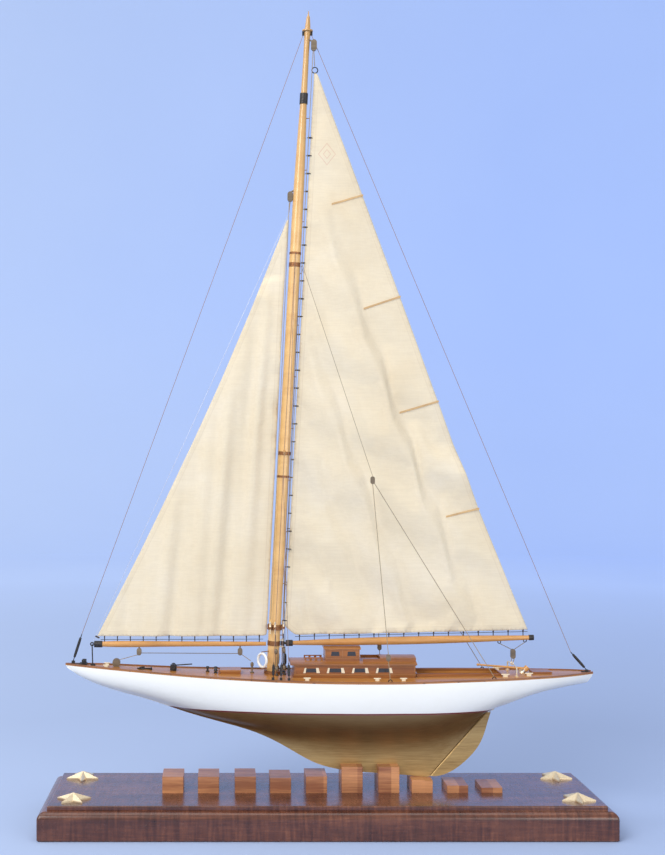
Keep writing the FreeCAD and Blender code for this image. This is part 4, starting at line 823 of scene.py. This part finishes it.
def main_sail():
    tack_high = (luff_x(MAIN_LUFF_FOOT_Z) + 0.0015, MAIN_LUFF_FOOT_Z)
    luff_head = (luff_x(MAIN_HEAD_Z) + 0.0025, MAIN_HEAD_Z)
    leech = hollow_edge(MAIN_CLEW, main_head(), LEECH_HOLLOW, -1)
    outline = [tack_high, MAIN_TACK] + leech + [luff_head]
    obj = cut_cloth("mainsail_cloth", outline, HEM)

    def held(x, z):
        run = x - MAIN_TACK[0]
        on_foot = z < MAIN_TACK[1] + run * 0.0213 + 0.0004 and (run % MAIN_TIE_STEP) < CELL
        on_luff = x < luff_x(z) + 0.0042 and min(abs(z - h) for h in HANK_HEIGHTS + [0.869]) < 0.0027
        corner = x > 0.2355 or z > 0.869 or (x < -0.0300 and z < 0.2295)
        return on_foot or on_luff or corner
    hang(obj, held, 0.006, main_folds, outline)
    finish_cloth(obj, outline, HEM)
    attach(obj, "main_boom")
    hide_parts("mainsail")
    return obj


def head_sail():
    head = (jib_luff_x(JIB_HEAD_Z) + 0.0026, JIB_HEAD_Z)
    luff_head = (jib_luff_x(JIB_HEAD_Z) + 0.0009, JIB_HEAD_Z)
    outline = hollow_edge(JIB_TACK, luff_head, JIB_LUFF_HOLLOW, 1) + [head, JIB_KNEE, JIB_CLEW]
    hem = HEM * 0.8
    obj = cut_cloth("jib_cloth", outline, hem)

    def held(x, z):
        on_foot = z < 0.2166 and ((x + 0.2590) % JIB_TIE_STEP) < CELL
        corner = x < -0.2590 or z > 0.697 or (x > -0.0705 and z < 0.2190)
        return on_foot or corner
    hang(obj, held, 0.005, jib_folds, outline)
    finish_cloth(obj, outline, hem)
    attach(obj, "jib_boom")
    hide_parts("jib")


def batten_strips(cloth):
    """Thin wooden strips bent to lie on the port face of the mainsail."""
    mesh = cloth.data
    polygons = [tuple(p.vertices) for p in mesh.polygons]
    tree = BVHTree.FromPolygons([v.co for v in mesh.vertices], polygons)
    clew, head = MAIN_CLEW, main_head()
    section = ((-0.00085, -0.0011), (-0.00085, 0.0011), (0.0001, 0.0011), (0.0001, -0.0011))
    count = 14
    verts, faces = [], []
    for below_head, length, slope in BATTENS:
        share = 1.0 - below_head
        aft_x = clew[0] + (head[0] - clew[0]) * share + (1.0 - table_value(LEECH_HOLLOW, share)) * MM
        aft_z = clew[1] + (head[1] - clew[1]) * share - 0.0003
        first = len(verts)
        y = 0.0
        for i in range(count + 1):
            back = length * MM * (1 - i / count)
            x, z = aft_x - back, aft_z - back * slope
            hit = tree.ray_cast(Vector((x, -0.05, z)), Vector((0, 1, 0)))[0]
            y = hit.y if hit else y
            verts += [(x, y + dy, z + dz) for dy, dz in section]
        for i in range(count):
            for k in range(4):
                a, b = first + 4 * i + k, first + 4 * i + (k + 1) % 4
                faces.append((a, b, b + 4, a + 4))
        faces.append((first + 3, first + 2, first + 1, first))
        end = first + 4 * count
        faces.append((end, end + 1, end + 2, end + 3))
    obj = add_mesh("batten_strips", verts, faces, MATERIALS["batten_wood"], smooth=False)
    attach(obj, "main_boom")
    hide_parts("sail_battens")


# ---------------------------------------------------------------- seizings and running rigging
def loop(centre, axis, across, along, turns=2):
    """Points of a flattened coil of thread round the line along axis."""
    sides, pitch = 14, 0.0006
    centre, axis, sideways = Vector(centre), Vector(axis).normalized(), Vector((0, 1, 0))
    first = axis.cross(sideways).normalized()
    points = []
    for i in range(sides * turns + 1):
        a = 2 * math.pi * i / sides
        middle = centre + axis * (i / sides - turns / 2) * pitch
        points.append(middle + first * across * math.cos(a) + sideways * along * math.sin(a))
    return points


def foot_ties(low, high, step):
    """Thread turns at even steps along a sail's foot, from low to high as (x, z)."""
    count = int((high[0] - low[0]) / step)
    ties = []
    for i in range(count + 1):
        share = (i + 0.3) / (count + 0.6)
        x, z = low[0] + (high[0] - low[0]) * share, low[1] + (high[1] - low[1]) * share
        ties.append(loop((x, 0, z), (1, 0, 0), 0.0019, 0.0010))
    return ties


def seizings():
    """Dark thread turns that tie the sails to hanks and foot posts."""
    up = (LUFF_LEAN, 0, 1)
    ties = [loop((luff_x(z) + 0.0016, 0, z), up, 0.0026, 0.0011) for z in HANK_HEIGHTS]
    ties += foot_ties((MAIN_TACK[0], 0.2166), (0.240, 0.2224), MAIN_TIE_STEP)
    obj = tube_mesh("mainsail_seizings", ties, THREAD_RADIUS, THREAD, 6)
    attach(obj, "main_boom")
    ties = foot_ties((-0.259, 0.2148), (-0.069, 0.2153), JIB_TIE_STEP)
    ties.append(loop((-0.2628, 0, 0.2142), (0.4, 0, 0.9), 0.0024, 0.0012, turns=3))
    obj = tube_mesh("jib_seizings", ties, THREAD_RADIUS, THREAD, 6)
    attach(obj, "jib_boom")


def sheet_ropes():
    """Sheets that run from the deck up to the booms."""
    falls = [between((0.2211, 0, 0.1853), (0.2212, 0, 0.1892), 10),
             between((0.2235, 0, 0.1853), (0.2246, 0, 0.1892), 10)]
    obj = tube_mesh("mainsheet_rope", falls, ROPE_RADIUS, MATERIALS["rope"])
    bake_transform(obj)
    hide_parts("mainsheet_falls")
    for name, low, high in (("jib_sheet_fore", (-0.2374, 0, 0.1876), (-0.2160, 0, 0.1934)),
                            ("jib_sheet_aft", (-0.0834, 0, 0.1864), (-0.0938, 0, 0.1936))):
        obj = tube_mesh(name, [between(low, high, 24)], ROPE_RADIUS, MATERIALS["rope"])
        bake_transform(obj)
        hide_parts("jib_sheet_falls")


# ---------------------------------------------------------------- stage, light and camera
def stage():
    """Wide pale blue floor with a curved wall far behind the model, beyond the camera of any other view."""
    reach, flat, curve, height, steps = 9.0, 4.2, 1.2, 3.6, 72
    verts = [(0.0, 0.0, 0.0)]
    for k in range(steps):
        a = 2 * math.pi * k / steps
        verts.append((reach * math.cos(a), reach * math.sin(a), 0.0))
    faces = [(0, 1 + k, 1 + (k + 1) % steps) for k in range(steps)]
    arcs = [math.radians(90 * i / 12) for i in range(13)]
    profile = [(flat + curve * math.sin(a), curve - curve * math.cos(a)) for a in arcs]
    profile.append((flat + curve, height))
    first, rows = len(verts), len(profile)
    turns = range(30, 151, 5)
    for degrees in turns:
        a = math.radians(degrees)
        verts += [(r * math.cos(a), r * math.sin(a), z) for r, z in profile]
    for k in range(len(turns) - 1):
        for i in range(rows - 1):
            corner = first + k * rows + i
            faces.append((corner, corner + rows, corner + rows + 1, corner + 1))
    g = Graph("backdrop")
    cloud = g.noise(g.place(), 1.2, 3.0)
    # Painted light: the floor and wall run from paler blue on the left to deeper blue on the right, as if
    # lit from the left.
    pale = g.mix(cloud, (0.425, 0.515, 0.690), (0.455, 0.545, 0.715))
    deep = g.mix(cloud, (0.335, 0.445, 0.725), (0.365, 0.475, 0.750))
    colour = g.mix(g.level(split(g, g.place())[0], -2.4, 1.4), pale, deep)
    distance = g.add("VectorMath", {"operation": "LENGTH"}, **{"0": g.place()}).outputs["Value"]
    # Painted light: the floor and wall glow more the further they are from the middle, which keeps the far
    # wall bright.
    glow = g.math("MULTIPLY", g.level(distance, 0.7, 3.0), 0.50)
    g.surface(Base_Color=colour, Roughness=0.95, Emission_Color=colour, Emission_Strength=glow)
    add_mesh("floor", verts, faces, g.material)


def area_light(name, place, aim, size, power, colour):
    """A soft rectangular lamp turned towards the point aim."""
    data = bpy.data.lights.new(name, "AREA")
    data.shape = "RECTANGLE"
    data.size, data.size_y = size
    data.energy = power
    data.color = colour
    light = bpy.data.objects.new(name, data)
    bpy.context.scene.collection.objects.link(light)
    light.location = place
    light.rotation_mode = "QUATERNION"
    light.rotation_quaternion = (Vector(aim) - Vector(place)).to_track_quat("-Z", "Y")


def lights():
    """Soft key from the upper left, weaker fill, top and floor lamps, and an even pale sky."""
    area_light("key", (-1.5, -2.0, 1.9), (0, 0, 0.40), (1.5, 1.5), 56, (1.0, 0.975, 0.94))
    area_light("fill", (1.5, -2.2, 0.7), (0, 0, 0.30), (1.8, 1.2), 22, (1.0, 0.99, 0.97))
    area_light("top", (0.0, -0.1, 2.6), (0, 0, 0.2), (1.8, 1.4), 13, (1.0, 0.98, 0.95))
    area_light("back", (-1.3, 0.2, 1.7), (-0.6, 1.6, 0.7), (1.4, 0.8), 9, (0.98, 0.99, 1.0))
    world = bpy.data.worlds.new("studio")
    world.use_nodes = True
    world.node_tree.nodes["Background"].inputs[0].default_value = (0.94, 0.96, 1.0, 1.0)
    world.node_tree.nodes["Background"].inputs[1].default_value = 0.55
    bpy.context.scene.world = world


def camera():
    """Level camera in front of the port side; the small shift frames the model as a cropped picture does."""
    data = bpy.data.cameras.new("camera")
    data.sensor_width = 36.0
    data.lens = 54.74
    data.shift_x = 0.1281
    data.shift_y = 0.0322
    cam = bpy.data.objects.new("camera", data)
    bpy.context.scene.collection.objects.link(cam)
    cam.location = (-0.116, -1.520, 0.427)
    cam.rotation_euler = (math.radians(90), 0, 0)
    bpy.context.scene.camera = cam
    bpy.context.scene.view_settings.view_transform = "Standard"


camera()
stage()
lights()
finish_cad_nodes()
cabin_mouldings()
mast_tackles()
main_cloth = main_sail()
head_sail()
batten_strips(main_cloth)
seizings()
sheet_ropes()
